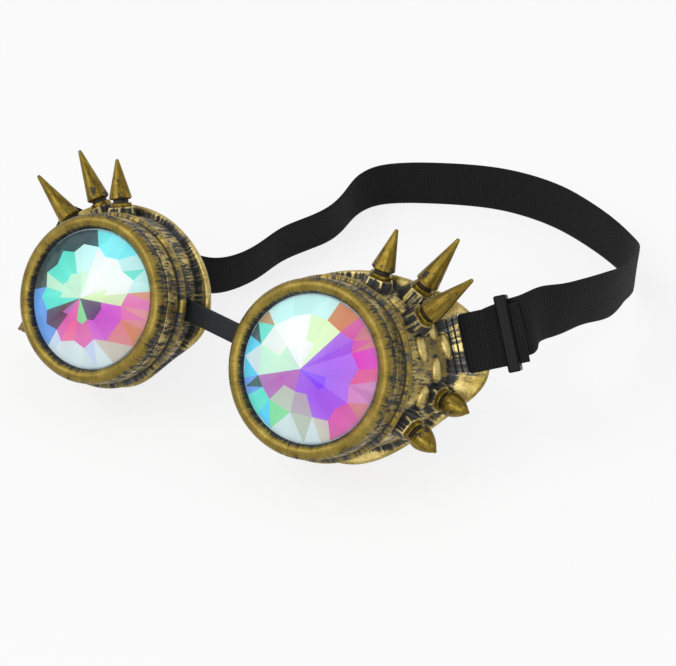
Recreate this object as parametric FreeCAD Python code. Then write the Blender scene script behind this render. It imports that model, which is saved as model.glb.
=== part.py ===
"""Steampunk goggles: two eyecups with screw rings and faceted lenses, spikes, a nose bridge and a head strap.

Each eyecup is built in a frame of its own: x to the temple, y back along the lens axis from the front of the
ring, z up. It is mirrored for its side, turned about the lens axis, tilted back and set down on the table.
The whole part stands on z = 0, midway between the lens axes, with the lenses looking towards -Y.
"""
import FreeCAD, Part
import math
import os
from FreeCAD import Placement, Rotation, Vector

# How the goggles lie: lens axes side by side, tilted up, both cups turned a little anticlockwise
LENS_SPACING = 88.8
LENS_TILT = 29.9
CUP_TURN = 3.5

# Gaps between pieces, and how far a cutting tool runs past what it cuts
CLEARANCE = 0.3
THREAD_FIT = 0.1
SEAT_FIT = 0.05
SCREW_FIT = 0.05
OVERRUN = 6.0

# Lens ring: a half-round lip, a grip band with one groove, and a skirt that turns on the cup's neck
RING_MOUTH_R = 24.8
LIP_WIDTH = 5.2
LIP_LAND = 0.4
GROOVE_BACK = 2.2
GROOVE_WIDTH = 1.0
GROOVE_DEPTH = 0.5
RING_WALL = 1.4
RING_SKIRT = 6.2
RING_CHAMFER = 0.4

# Faceted lens: a round rim in the ring's pocket and a crown of flat facets that stands out of the mouth
LENS_SEAT = 2.3
LENS_RIM_THICK = 3.0
CROWN_GAP = 0.4
CROWN_RISE = 7.3
CROWN_STEP = 0.6
STAR_COUNT = 9
STAR_RADIUS_shares = (0.50, 0.60, 0.46, 0.57, 0.52, 0.62, 0.48, 0.55, 0.58)
STAR_HEIGHT_share = 0.62

# Lens gasket
GASKET_THICK = 0.9
GASKET_WIDTH = 1.6

# Eyecup: neck, shoulder bead, flaring wall and slanted face flange
NECK_WALL = 2.2
BEAD_PROUD = 1.7
BEAD_ROUND = 1.4
WALL_STEP_IN = 0.3
WALL_THICK = 2.2
FLANGE_DEPTH = 31.0
FLANGE_SLANT = 0.21
FLANGE_THICK = 2.6
FLANGE_ROUND = 1.1
WALL_END_HALF_WIDTH = 33.5
WALL_END_HALF_HEIGHT = 29.0
WALL_END_OUT = 2.5
WALL_END_UP = 2.75
WALL_SEAM_ANGLE = 250
WALL_POINTS = 36
FLANGE_HALF_WIDTH = 41.0
FLANGE_HALF_HEIGHT = 32.2
FLANGE_OUT = 6.2
FLANGE_UP = 3.0
FLANGE_OUTLINE_shares = (
    (1.01, 0.25), (0.80, 0.73), (0.36, 0.95), (-0.23, 0.96), (-0.69, 0.70), (-0.98, 0.26),
    (-1.00, -0.22), (-0.72, -0.61), (-0.37, -1.00), (0.05, -1.09), (0.52, -0.70), (0.83, -0.26),
)

# Strap slot through the flange at the temple, and the thin blind relief grooves inside it
STRAP_WIDTH = 20.0
STRAP_THICK = 1.3
SLOT_ANGLE = 23.7
SLOT_IN = 5.7
SLOT_ROOM = 0.75
SLOT_INNER_ROOM = 0.12
SLOT_END_ROOM = 0.3
SLOT_REACH = 1.2
RELIEF_COUNT = 2
RELIEF_AT = 2.4
RELIEF_STEP = 2.1
RELIEF_WIDTH = 0.7
RELIEF_LENGTH = 18.8
RELIEF_DEPTH = 1.2

# Spikes: shank, rounded base edge and cone, on a collar and a six-sided boss, held by a screw from inside
SPIKE_BASE_R = 4.2
SPIKE_TIP_R = 0.7
SPIKE_EDGE = 0.7
SPIKE_NECK_R = 2.8
SPIKE_NECK = 1.2
STUD_STRAIGHT = 2.0
STUD_BELLY_share = 0.62
COLLAR_R = 3.9
COLLAR_THICK = 1.5
COLLAR_ROUND = 0.4
BOSS_FOOT_R = 6.2
BOSS_TOP_R = 4.9
BOSS_SIDES = 6
BOSS_SINK = 1.4
SCREW_R = 1.3
SCREW_HOLE_R = 1.5
SCREW_HEAD_R = 2.5
SCREW_HEAD = 1.6
SCREW_GRIP = 5.0
SCREW_SLOT = 0.7
SPOT_FACE = 0.5

# Spike name, angle round the cup from the temple, share of the way down the wall
SPIKE_SEAT_shares = {
    "spike_inner": (77.4, 0.54),
    "spike_middle": (58.5, 0.85),
    "spike_outer": (42.0, 0.46),
    "stud_upper": (-8.8, 0.74),
    "stud_lower": (-26.4, 0.36),
}
# Height of each spike's base above the wall, and length of its cone
SPIKE_STAND = {
    "spike_inner": 6.1,
    "spike_middle": 8.4,
    "spike_outer": 7.0,
    "stud_upper": 5.3,
    "stud_lower": 6.4,
}
SPIKE_LENGTH = {
    "spike_inner": 14.8,
    "spike_middle": 19.8,
    "spike_outer": 20.2,
    "stud_upper": 9.1,
    "stud_lower": 8.9,
}

# Leaf-shaped bumps cast on the temple wall: angle, share of the way down the wall
LEAF_LENGTH = 9.0
LEAF_WIDTH = 5.2
LEAF_RISE = 1.9
LEAF_SEAT_shares = ((55.3, 0.36), (37.6, 0.71), (24.0, 0.35), (24.9, 0.93), (9.0, 0.63), (-8.4, 0.41))

# Nose bridge: a rubber strip through the nasal walls, with a head inside each cup
BRIDGE_HEIGHT = 7.2
BRIDGE_THICK = 1.6
BRIDGE_DEPTH = 18.6
BRIDGE_UP = 2.6
BRIDGE_HEAD_HEIGHT = 10.6
BRIDGE_HEAD_DEPTH = 4.4
BRIDGE_HEAD_THICK = 2.0

# Strap loop round each slot's outer bar, double layer to the adjuster, and the free tail
WRAP_ROOM = 0.55
WRAP_STEPS = 8
WRAP_PAST = 2.2
CONVERGE_RUN = 2.4
ADJUSTER_AT = 15.0
TAIL_PAST = 5.5
FREE_PAST = 4.0
BACK_RISE_START = 0.5
BACK_RISE_END = 2.0
SEWN_OUT = 6.0
SEWN_BACK = 6.5
SEWN_RUN = 4.0
SEWN_GAP = 0.1
SEWN_TURN = 115.0
KNEE_FRONT = (2.2, -0.4)
KNEE_REAR = (1.8, 2.6)

# Adjuster: a two-window slide with a bar between the strap's layers
ADJUSTER_WIDTH = 4.2
ADJUSTER_BAR = 1.6
ADJUSTER_MIDDLE_BAR = 0.9
ADJUSTER_END = 1.7
ADJUSTER_ROOM = 0.25
ADJUSTER_SIDE_ROOM = 1.4
ADJUSTER_UP = 0.5
ADJUSTER_ROUND = 0.7

# Strap route behind the cups, as shares of its spread, its reach and its rise off the table
STRAP_SPREAD = 111.5
STRAP_REACH = 212.0
STRAP_RISE = 37.0
STRAP_STATIONS = 200
STRAP_LEAD = 0.8
STRAP_ROUTE_shares = (
    (0.891, 0.295, 1.005), (0.924, 0.337, 0.964), (0.961, 0.382, 0.935), (0.988, 0.434, 0.870),
    (0.996, 0.519, 0.690), (0.967, 0.640, 0.480),
    (0.930, 0.730, 0.265), (0.875, 0.815, 0.075), (0.800, 0.870, 0.010), (0.710, 0.910, 0.000),
    (0.590, 0.950, 0.000), (0.460, 0.983, 0.000), (0.320, 1.000, 0.000), (0.185, 1.000, 0.000),
    (0.055, 0.983, 0.000), (-0.075, 0.955, 0.000), (-0.185, 0.923, 0.000), (-0.258, 0.885, 0.000),
    (-0.285, 0.835, 0.000), (-0.272, 0.762, 0.000), (-0.268, 0.690, 0.000), (-0.300, 0.630, 0.000),
    (-0.338, 0.570, 0.000), (-0.350, 0.505, 0.000), (-0.375, 0.440, 0.000), (-0.430, 0.396, 0.010),
    (-0.500, 0.378, 0.045), (-0.580, 0.358, 0.150), (-0.655, 0.330, 0.310), (-0.715, 0.290, 0.460),
)
STRAP_LEAN_shares = (
    (0.00, -0.50, 0.42), (0.03, -0.10, 0.05), (0.08, 0.10, -0.05), (0.20, 0.10, 0.02), (0.30, -0.02, 0.02),
    (0.36, -0.08, 0.10), (0.42, -0.08, 0.12), (0.50, -0.04, 0.04), (0.58, 0.00, 0.02), (0.65, 0.04, -0.06),
    (0.74, 0.18, -0.28), (0.84, 0.20, -0.30), (0.90, 0.20, -0.10), (0.96, 0.45, 0.10), (1.00, 0.36, 0.42),
)


# Frames

def flange_plane(x):
    """Depth of the flange's middle plane at x."""
    return FLANGE_DEPTH + FLANGE_SLANT * x


FLANGE_NORMAL = Vector(-FLANGE_SLANT, 1, 0).normalize()

# Radii and depths that follow from the sizes above
RING_R = RING_MOUTH_R + LIP_WIDTH
RING_BORE_R = RING_R - RING_WALL
LENS_R = RING_MOUTH_R + LENS_SEAT
CROWN_R = RING_MOUTH_R - CROWN_GAP
BEAD_R = RING_R + BEAD_PROUD
WALL_START_R = RING_R - WALL_STEP_IN
LIP_DEPTH = LIP_WIDTH / 2 + LIP_LAND
POCKET_END = LIP_DEPTH + LENS_RIM_THICK
RING_DEPTH = POCKET_END + RING_SKIRT
GROOVE_AT = LIP_WIDTH / 2 + GROOVE_BACK
NECK_FRONT = POCKET_END + GASKET_THICK
SHOULDER = RING_DEPTH + CLEARANCE
WALL_START = SHOULDER + 2 * BEAD_ROUND
SLOT_RADIUS = FLANGE_OUT + FLANGE_HALF_WIDTH - SLOT_IN
SLOT_OUTER = STRAP_THICK / 2 + SLOT_ROOM
SLOT_INNER = STRAP_THICK / 2 + SLOT_INNER_ROOM
WRAP_R = FLANGE_THICK / 2 + STRAP_THICK / 2 + WRAP_ROOM
WRAP_RUN = SLOT_IN + WRAP_PAST
ANGLE_STEP = 360 / WALL_POINTS


def wall_point(angle, share, inset=0.0):
    """Point on the flaring wall: straight lines join the bead's circle to the oval at the flange."""
    a = math.radians(angle)
    start_r = WALL_START_R - inset
    start = Vector(start_r * math.cos(a), WALL_START, start_r * math.sin(a))
    x = WALL_END_OUT + (WALL_END_HALF_WIDTH - inset) * math.cos(a)
    z = WALL_END_UP + (WALL_END_HALF_HEIGHT - inset) * math.sin(a)
    end = Vector(x, flange_plane(x), z)
    return start + (end - start) * share


def wall_normal(angle, share):
    """Outward direction square to the wall."""
    along = wall_point(angle, 1) - wall_point(angle, 0)
    return along.cross(wall_around(angle, share)).normalize()


def wall_around(angle, share):
    """Direction round the wall."""
    return wall_point(angle + ANGLE_STEP / 2, share) - wall_point(angle - ANGLE_STEP / 2, share)


def seat(angle, share):
    """Placement on the wall with its z axis pointing straight out."""
    turned = Rotation(wall_around(angle, share), Vector(), wall_normal(angle, share), "ZXY")
    return Placement(wall_point(angle, share), turned)


def mirrored(side, shape):
    """The right cup is built as drawn; the left one is its mirror image."""
    if side == "right":
        return shape
    return shape.mirror(Vector(), Vector(1, 0, 0))


def side_sign(side):
    return 1 if side == "right" else -1


def cup_placement(side, height=0.0):
    """Turned about the lens axis, tilted back and moved to its side."""
    tilt = Rotation(Vector(1, 0, 0), -LENS_TILT)
    turn = Rotation(Vector(0, -1, 0), CUP_TURN)
    return Placement(Vector(side_sign(side) * LENS_SPACING / 2, 0, height), tilt * turn)


# Shapes shared by several pieces

def revolved(points, axis):
    """Solid turned from a closed outline of straight lines, arcs given as (start, middle, end)."""
    edges = []
    for item in points:
        if len(item) == 3:
            edges.append(Part.Arc(*item).toShape())
        else:
            edges.append(Part.LineSegment(*item).toShape())
    face = Part.Face(Part.Wire(edges))
    return face.revolve(Vector(), axis, 360)


def chain(points):
    """Straight edges from each point to the next."""
    return [(a, b) for a, b in zip(points[:-1], points[1:])]


def cylinder(radius, start, end, place=Placement()):
    """Cylinder along z from start to end, moved to a placement."""
    shape = Part.makeCylinder(radius, end - start, Vector(0, 0, start))
    shape.Placement = place.multiply(shape.Placement)
    return shape


def block(place, x0, x1, y0, y1, z0, z1):
    """Box between two corners, in a placement's axes."""
    shape = Part.makeBox(x1 - x0, y1 - y0, z1 - z0, Vector(x0, y0, z0))
    shape.Placement = place.multiply(shape.Placement)
    return shape


# Lens ring, lens and gasket

def lens_ring():
    """Half-round lip, grip band with a groove, lens pocket and threaded bore, turned about y."""
    round_r = LIP_WIDTH / 2
    crest = Vector(RING_MOUTH_R + round_r, 0, 0)
    mouth_back = Vector(RING_MOUTH_R, LIP_DEPTH, 0)
    mouth_front = Vector(RING_MOUTH_R, round_r, 0)
    lip_out = Vector(RING_R, round_r, 0)
    pocket_r = LENS_R + CLEARANCE
    outside = [
        lip_out,
        Vector(RING_R, GROOVE_AT - GROOVE_WIDTH / 2, 0),
        Vector(RING_R - GROOVE_DEPTH, GROOVE_AT, 0),
        Vector(RING_R, GROOVE_AT + GROOVE_WIDTH / 2, 0),
        Vector(RING_R, RING_DEPTH - RING_CHAMFER, 0),
        Vector(RING_R - RING_CHAMFER, RING_DEPTH, 0),
        Vector(RING_BORE_R, RING_DEPTH, 0),
        Vector(RING_BORE_R, POCKET_END, 0),
        Vector(pocket_r, POCKET_END, 0),
        Vector(pocket_r, LIP_DEPTH, 0),
        mouth_back,
    ]
    outline = [(mouth_back, mouth_front), (mouth_front, crest, lip_out)] + chain(outside)
    return revolved(outline, Vector(0, 1, 0))


def lens():
    """Round rim with a crown: facets from the apex to an uneven star, then on to the crown's edge."""
    front = Vector(0, LIP_DEPTH + SEAT_FIT, 0)
    rim = Part.makeCylinder(LENS_R, LENS_RIM_THICK - SEAT_FIT, front, Vector(0, 1, 0))
    crown_base = LIP_DEPTH - CROWN_STEP
    apex = Vector(0, LIP_DEPTH - CROWN_RISE, 0)
    star = []
    for index, radius_share in enumerate(STAR_RADIUS_shares):
        a = 2 * math.pi * index / STAR_COUNT
        radius = CROWN_R * radius_share
        height = CROWN_RISE * STAR_HEIGHT_share
        star.append(Vector(radius * math.cos(a), LIP_DEPTH - height, radius * math.sin(a)))
    edge = []
    foot = []
    for index in range(2 * STAR_COUNT):
        a = math.pi * index / STAR_COUNT
        x = CROWN_R * math.cos(a)
        z = CROWN_R * math.sin(a)
        edge.append(Vector(x, crown_base, z))
        foot.append(Vector(x, LIP_DEPTH + CROWN_STEP, z))
    triangles = []
    quads = []
    for index in range(STAR_COUNT):
        after = (index + 1) % STAR_COUNT
        here = 2 * index
        middle = here + 1
        beyond = (here + 2) % (2 * STAR_COUNT)
        triangles.append((apex, star[index], star[after]))
        triangles.append((star[index], edge[here], edge[middle]))
        triangles.append((star[index], edge[middle], star[after]))
        triangles.append((star[after], edge[middle], edge[beyond]))
        quads.append((edge[here], foot[here], foot[middle], edge[middle]))
        quads.append((edge[middle], foot[middle], foot[beyond], edge[beyond]))
    faces = []
    for corners in triangles + quads + [tuple(foot)]:
        faces.append(Part.Face(Part.makePolygon(list(corners) + [corners[0]])))
    shell = Part.Shell(faces)
    shell.sewShape()
    crown = Part.Solid(shell)
    if crown.Volume < 0:
        crown.reverse()
    return rim.fuse(crown).removeSplitter()


def lens_gasket():
    """Flat rubber ring between the lens and the cup's neck."""
    back = Vector(0, POCKET_END, 0)
    outer = Part.makeCylinder(LENS_R, GASKET_THICK, back, Vector(0, 1, 0))
    inner = Part.makeCylinder(LENS_R - GASKET_WIDTH, GASKET_THICK, back, Vector(0, 1, 0))
    return outer.cut(inner)


# Eyecup

def flange_outline():
    """Closed smooth outline of the face flange, in its slanted plane."""
    points = []
    for across, up in FLANGE_OUTLINE_shares:
        x = FLANGE_OUT + FLANGE_HALF_WIDTH * across
        z = FLANGE_UP + FLANGE_HALF_HEIGHT * up
        points.append(Vector(x, flange_plane(x), z))
    curve = Part.BSplineCurve()
    curve.interpolate(points, PeriodicFlag=True)
    return Part.Wire(curve.toShape())


def flange_plate():
    """Plate of the flange's outline with its edges rounded over."""
    wire = flange_outline()
    wire.translate(FLANGE_NORMAL * (-FLANGE_THICK / 2))
    plate = Part.Face(wire).extrude(FLANGE_NORMAL * FLANGE_THICK)
    rounding = min(FLANGE_ROUND, FLANGE_THICK / 2 - CLEARANCE / 2)
    return plate.makeFillet(rounding, plate.Edges)


def wall_solid(inset, start_share=0.0, end_share=1.0):
    """Solid within the flaring wall, drawn in by the inset, between two shares of its length."""
    rings = []
    for share in (start_share, end_share):
        points = []
        for step in range(WALL_POINTS):
            points.append(wall_point(WALL_SEAM_ANGLE + ANGLE_STEP * step, share, inset))
        curve = Part.BSplineCurve()
        curve.interpolate(points, PeriodicFlag=True)
        rings.append(Part.Wire(curve.toShape()))
    return Part.makeLoft(rings, True, True)


def neck_solid():
    """Neck that the ring turns on, and the half-round shoulder bead behind it."""
    neck_r = RING_BORE_R - THREAD_FIT
    bead_in = BEAD_R - BEAD_ROUND
    bead_front = Vector(bead_in, SHOULDER, 0)
    bead_top = Vector(BEAD_R, SHOULDER + BEAD_ROUND, 0)
    bead_back = Vector(bead_in, WALL_START, 0)
    before = [
        Vector(0, WALL_START, 0),
        Vector(0, NECK_FRONT, 0),
        Vector(neck_r, NECK_FRONT, 0),
        Vector(neck_r, SHOULDER, 0),
        bead_front,
    ]
    outline = chain(before) + [(bead_front, bead_top, bead_back), (bead_back, before[0])]
    return revolved(outline, Vector(0, 1, 0))


def boss_top(name):
    """Height of a boss above the wall: the spike's base less its shank and collar."""
    return SPIKE_STAND[name] - SPIKE_NECK - COLLAR_THICK


def boss(name):
    """Six-sided raised seat for a spike, sunk into the wall."""
    rings = []
    for radius, height in ((BOSS_FOOT_R, -BOSS_SINK), (BOSS_TOP_R, boss_top(name))):
        corners = []
        for index in range(BOSS_SIDES + 1):
            a = 2 * math.pi * index / BOSS_SIDES
            corners.append(Vector(radius * math.cos(a), radius * math.sin(a), height))
        rings.append(Part.makePolygon(corners))
    shape = Part.makeLoft(rings, True, True)
    shape.Placement = seat(*SPIKE_SEAT_shares[name])
    return shape


def leaf(angle, share):
    """Leaf-shaped bump: a stretched ball lying round the wall and half sunk in it."""
    stretch = FreeCAD.Matrix()
    stretch.scale(LEAF_LENGTH / 2, LEAF_WIDTH / 2, LEAF_RISE)
    shape = Part.makeSphere(1).transformGeometry(stretch)
    shape.Placement = seat(angle, share)
    return shape


def slot_frame():
    """Frame of the strap slot: x outwards in the flange, y back through it, z along the slot."""
    a = math.radians(SLOT_ANGLE)
    x = SLOT_RADIUS * math.cos(a)
    origin = Vector(x, flange_plane(x), SLOT_RADIUS * math.sin(a))
    outward = Vector(math.cos(a), FLANGE_SLANT * math.cos(a), math.sin(a)).normalize()
    along = outward.cross(FLANGE_NORMAL)
    return Placement(origin, Rotation(outward, FLANGE_NORMAL, along, "YXZ"))


def slot_cuts():
    """The strap slot through the flange, and the relief grooves in its front."""
    frame = slot_frame()
    half = STRAP_WIDTH / 2 + SLOT_END_ROOM
    deep = FLANGE_THICK / 2 + SLOT_REACH
    cuts = [block(frame, -SLOT_INNER, SLOT_OUTER, -deep, deep, -half, half)]
    floor = RELIEF_DEPTH - FLANGE_THICK / 2
    half = RELIEF_LENGTH / 2
    for index in range(RELIEF_COUNT):
        outer = RELIEF_WIDTH / 2 - RELIEF_AT - RELIEF_STEP * index
        cuts.append(block(frame, outer - RELIEF_WIDTH, outer, -deep, floor, -half, half))
    return cuts


def screw_cuts(name):
    """Screw hole through wall and boss, a flat seat for its head inside, and room for collar and spike."""
    place = seat(*SPIKE_SEAT_shares[name])
    hole = cylinder(SCREW_HOLE_R, -WALL_THICK - OVERRUN, SPIKE_STAND[name], place)
    head_seat = SPOT_FACE - WALL_THICK
    spot = cylinder(SCREW_HEAD_R + CLEARANCE, head_seat - OVERRUN, head_seat, place)
    room_r = max(COLLAR_R, SPIKE_BASE_R) + CLEARANCE
    room = cylinder(room_r, boss_top(name), SPIKE_STAND[name] + OVERRUN, place)
    return [hole, spot, room]


def eyecup():
    """Moulded cup: neck, bead, wall, flange, bosses and leaves, hollowed right through."""
    solids = [wall_solid(0.0), flange_plate()]
    solids += [boss(name) for name in SPIKE_SEAT_shares]
    solids += [leaf(angle, share) for angle, share in LEAF_SEAT_shares]
    shape = neck_solid().fuse(solids)
    bore_r = RING_BORE_R - THREAD_FIT - NECK_WALL
    start = Vector(0, NECK_FRONT - OVERRUN, 0)
    bore = Part.makeCylinder(bore_r, WALL_START - NECK_FRONT + 2 * OVERRUN, start, Vector(0, 1, 0))
    past_share = OVERRUN / FLANGE_DEPTH
    cuts = [bore, wall_solid(WALL_THICK, 0.0, 1 + past_share)] + slot_cuts()
    for name in SPIKE_SEAT_shares:
        cuts += screw_cuts(name)
    return shape.cut(cuts)


# Spikes with their collars and screws, each along its own seat's z axis

def spike(name):
    """Turned spike: shank, rounded base edge, then a straight cone or a bullet, with a blind screw hole."""
    base = SPIKE_NECK
    tip = base + SPIKE_LENGTH[name]
    edge = Vector(SPIKE_BASE_R, 0, base + SPIKE_EDGE)
    before = [
        Vector(0, 0, tip),
        Vector(0, 0, 0),
        Vector(SPIKE_NECK_R, 0, 0),
        Vector(SPIKE_NECK_R, 0, base),
        Vector(SPIKE_BASE_R - SPIKE_EDGE, 0, base),
        edge,
    ]
    outline = chain(before)
    nose_in = Vector(SPIKE_TIP_R, 0, tip - SPIKE_TIP_R)
    if name.startswith("stud"):
        shoulder = Vector(SPIKE_BASE_R, 0, base + STUD_STRAIGHT)
        rise = nose_in.z - shoulder.z
        belly = Vector(SPIKE_BASE_R * STUD_BELLY_share, 0, shoulder.z + rise * STUD_BELLY_share)
        outline += [(edge, shoulder), (shoulder, belly, nose_in)]
    else:
        outline.append((edge, nose_in))
    lean = SPIKE_TIP_R / math.sqrt(2)
    nose_mid = Vector(lean, 0, tip - SPIKE_TIP_R + lean)
    outline.append((nose_in, nose_mid, before[0]))
    shape = revolved(outline, Vector(0, 0, 1))
    shape = shape.cut(cylinder(SCREW_R + SCREW_FIT, -OVERRUN, SCREW_GRIP + CLEARANCE))
    place = seat(*SPIKE_SEAT_shares[name])
    stand = Placement(Vector(0, 0, SPIKE_STAND[name] - SPIKE_NECK), Rotation())
    shape.Placement = place.multiply(stand)
    return shape


def collar(name):
    """Washer with rounded edges between the boss and the spike."""
    foot = boss_top(name)
    disc = Part.makeCylinder(COLLAR_R, COLLAR_THICK, Vector(0, 0, foot))
    rims = [edge for edge in disc.Edges if edge.Closed]
    disc = disc.makeFillet(COLLAR_ROUND, rims)
    shape = disc.cut(cylinder(SCREW_HOLE_R, foot - OVERRUN, foot + COLLAR_THICK + OVERRUN))
    shape.Placement = seat(*SPIKE_SEAT_shares[name])
    return shape


def screw(name):
    """Slotted screw from inside the cup, up into the spike."""
    place = seat(*SPIKE_SEAT_shares[name])
    head_seat = SPOT_FACE - WALL_THICK
    end = SPIKE_STAND[name] - SPIKE_NECK + SCREW_GRIP
    shank = cylinder(SCREW_R, head_seat, end)
    head = cylinder(SCREW_HEAD_R, head_seat - SCREW_HEAD, head_seat)
    half = SCREW_SLOT / 2
    low = head_seat - SCREW_HEAD
    notch = block(Placement(), -SCREW_HEAD_R, SCREW_HEAD_R, -half, half, low, low + SCREW_SLOT)
    shape = head.fuse(shank).cut(notch)
    shape.Placement = place
    return shape


# Nose bridge

def bridge_end(side, inset):
    """Point on the bridge's middle line, at the nasal wall's outside less an inset towards the lens axis."""
    x = -side_sign(side) * (WALL_START_R - inset)
    return CUPS[side].multVec(Vector(x, BRIDGE_DEPTH, BRIDGE_UP))


def bridge_frame():
    """Frame of the bridge: x from the left cup to the right one, z up its height."""
    left = bridge_end("left", 0.0)
    right = bridge_end("right", 0.0)
    along = right - left
    up = CUPS["right"].Rotation.multVec(Vector(0, 0, 1)) + CUPS["left"].Rotation.multVec(Vector(0, 0, 1))
    middle = (left + right) / 2
    return Placement(middle, Rotation(along, Vector(), up, "XZY")), along.Length


def bridge_reach():
    """Distance from the bridge's middle to the inner face of each head."""
    return bridge_frame()[1] / 2 + WALL_THICK + CLEARANCE + BRIDGE_HEAD_THICK


def bridge_strip(room=0.0):
    """The flat strip from head to head, with room round it when it cuts its slots."""
    reach = bridge_reach() + room
    half_t = BRIDGE_THICK / 2 + room
    half_h = BRIDGE_HEIGHT / 2 + room
    return block(bridge_frame()[0], -reach, reach, -half_t, half_t, -half_h, half_h)


def bridge_head(side):
    """Flat head whose back follows the inside of the nasal wall."""
    half_d = BRIDGE_HEAD_DEPTH / 2
    half_h = BRIDGE_HEAD_HEIGHT / 2
    start, end = sorted((0, side_sign(side) * bridge_reach()))
    bar = block(bridge_frame()[0], start, end, -half_d, half_d, -half_h, half_h)
    return bar.common(placed(side, wall_solid(WALL_THICK + CLEARANCE)))


def nose_bridge():
    """Strip with a flat head inside each cup."""
    return bridge_strip().fuse([bridge_head(side) for side in SIDES]).removeSplitter()


# Head strap and its adjuster

def slot_world(side):
    """The slot's frame on a placed cup: outward, backward and along-the-slot directions and its middle."""
    frame = slot_frame()
    sign = side_sign(side)

    def own_side(vector):
        return Vector(sign * vector.x, vector.y, vector.z)

    origin = CUPS[side].multVec(own_side(frame.Base))
    axes = []
    for unit in (Vector(1, 0, 0), Vector(0, 1, 0), Vector(0, 0, 1)):
        axes.append(CUPS[side].Rotation.multVec(own_side(frame.Rotation.multVec(unit))))
    return origin, axes


def layer_offset():
    """Distance of each strap layer's middle from the adjuster's middle plane."""
    return ADJUSTER_MIDDLE_BAR / 2 + ADJUSTER_ROOM + STRAP_THICK / 2


def wrap_arc():
    """Half turn of the strap through the slot and round its outer bar, front to back."""
    points = []
    for step in range(WRAP_STEPS + 1):
        a = math.pi * step / WRAP_STEPS
        points.append((WRAP_R - WRAP_R * math.sin(a), -WRAP_R * math.cos(a)))
    return points


def right_end():
    """Tail, front layer, wrap and rising back layer at the right slot, as (outward, backward, along)."""
    offset = layer_offset()
    tail = ADJUSTER_AT + TAIL_PAST
    start = WRAP_RUN + CONVERGE_RUN
    front = [(tail, -offset), (start, -offset), (WRAP_RUN, -WRAP_R)]
    level = [(out, back, 0) for out, back in front + wrap_arc() + [(WRAP_RUN, WRAP_R)]]
    end = ADJUSTER_AT + FREE_PAST
    return level + [(start, offset, BACK_RISE_START), (end, offset, BACK_RISE_END)]


def left_end():
    """Back layer, wrap and front layer at the left slot, brought together behind its bar and sewn."""
    turn = math.radians(SEWN_TURN)
    offset = STRAP_THICK / 2 + SEWN_GAP / 2
    run = (math.cos(turn), math.sin(turn))

    def sewn(along, off):
        return (SEWN_OUT + run[0] * along - run[1] * off, SEWN_BACK + run[1] * along + run[0] * off)

    knees = [(WRAP_RUN + out, back) for out, back in (KNEE_FRONT, KNEE_REAR)]
    back = [sewn(SEWN_RUN, offset), sewn(0, offset)]
    front = [(WRAP_RUN, -WRAP_R)] + knees + [sewn(0, -offset), sewn(SEWN_RUN, -offset)]
    return back + wrap_arc()[::-1] + front


def strap_lean(share):
    """Width direction of the free strap: upright, leaning by the table's shares."""
    for before, after in zip(STRAP_LEAN_shares[:-1], STRAP_LEAN_shares[1:]):
        if share <= after[0]:
            mix = (share - before[0]) / (after[0] - before[0])
            lean_x = before[1] + (after[1] - before[1]) * mix
            lean_y = before[2] + (after[2] - before[2]) * mix
            return Vector(lean_x, lean_y, 1).normalize()
    return Vector(STRAP_LEAN_shares[-1][1], STRAP_LEAN_shares[-1][2], 1).normalize()


def strap_stations():
    """Middle points and width directions from the right tail, round the head, to the left end."""
    stations = []
    origin, axes = slot_world("right")
    for out, back, rise in right_end():
        stations.append((origin + axes[0] * out + axes[1] * back + axes[2] * rise, axes[2]))
    left_origin, left_axes = slot_world("left")
    ends = []
    for out, back in left_end():
        ends.append((left_origin + left_axes[0] * out + left_axes[1] * back, left_axes[2]))
    turn = math.radians(SEWN_TURN)
    sewn_way = left_axes[0] * math.cos(turn) + left_axes[1] * math.sin(turn)
    route = [stations[-1][0], stations[-1][0] + axes[0] * STRAP_LEAD]
    for x, y, z in STRAP_ROUTE_shares:
        route.append(Vector(STRAP_SPREAD * x, STRAP_REACH * y, STRAP_WIDTH / 2 + STRAP_RISE * z))
    route += [ends[0][0] + sewn_way * STRAP_LEAD, ends[0][0]]
    curve = Part.BSplineCurve()
    curve.interpolate(route)
    middle = curve.discretize(Number=STRAP_STATIONS + 2)[1:-1]
    for index, point in enumerate(middle):
        share = (index + 1) / (STRAP_STATIONS + 1)
        stations.append((point, strap_lean(share)))
    return stations + ends


def head_strap():
    """Flat ribbon through the stations, with square edges, lifted where it would sink into the table."""
    stations = strap_stations()
    rings = []
    for index, (point, width_way) in enumerate(stations):
        before = stations[max(index - 1, 0)][0]
        after = stations[min(index + 1, len(stations) - 1)][0]
        tangent = (after - before).normalize()
        side = tangent.cross(width_way).normalize()
        up = side.cross(tangent)
        half_w = up * (STRAP_WIDTH / 2)
        half_t = side * (STRAP_THICK / 2)
        lowest = point.z - abs(half_w.z) - abs(half_t.z)
        point = point - Vector(0, 0, min(lowest, 0))
        corners = [
            point + half_w + half_t,
            point + half_w - half_t,
            point - half_w - half_t,
            point - half_w + half_t,
        ]
        rings.append(Part.makePolygon(corners + [corners[0]]))
    return Part.makeLoft(rings, True, True)


def strap_adjuster():
    """Moulded slide with two windows, one for each layer of the strap."""
    origin, axes = slot_world("right")
    middle = origin + axes[0] * ADJUSTER_AT + axes[2] * ADJUSTER_UP
    frame = Placement(middle, Rotation(axes[0], axes[1], axes[2], "ZXY"))
    window = STRAP_THICK / 2 + ADJUSTER_ROOM
    outside = layer_offset() + window + ADJUSTER_BAR
    half_w = ADJUSTER_WIDTH / 2
    half_h = STRAP_WIDTH / 2 + ADJUSTER_SIDE_ROOM
    tall = half_h + ADJUSTER_END
    body = block(Placement(), -half_w, half_w, -outside, outside, -tall, tall)
    body = body.makeFillet(ADJUSTER_ROUND, body.Edges)
    for sign in (1, -1):
        middle = sign * layer_offset()
        reach = half_w + OVERRUN
        low = middle - window
        high = middle + window
        body = body.cut(block(Placement(), -reach, reach, low, high, -half_h, half_h))
    body.Placement = frame
    return body


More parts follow.
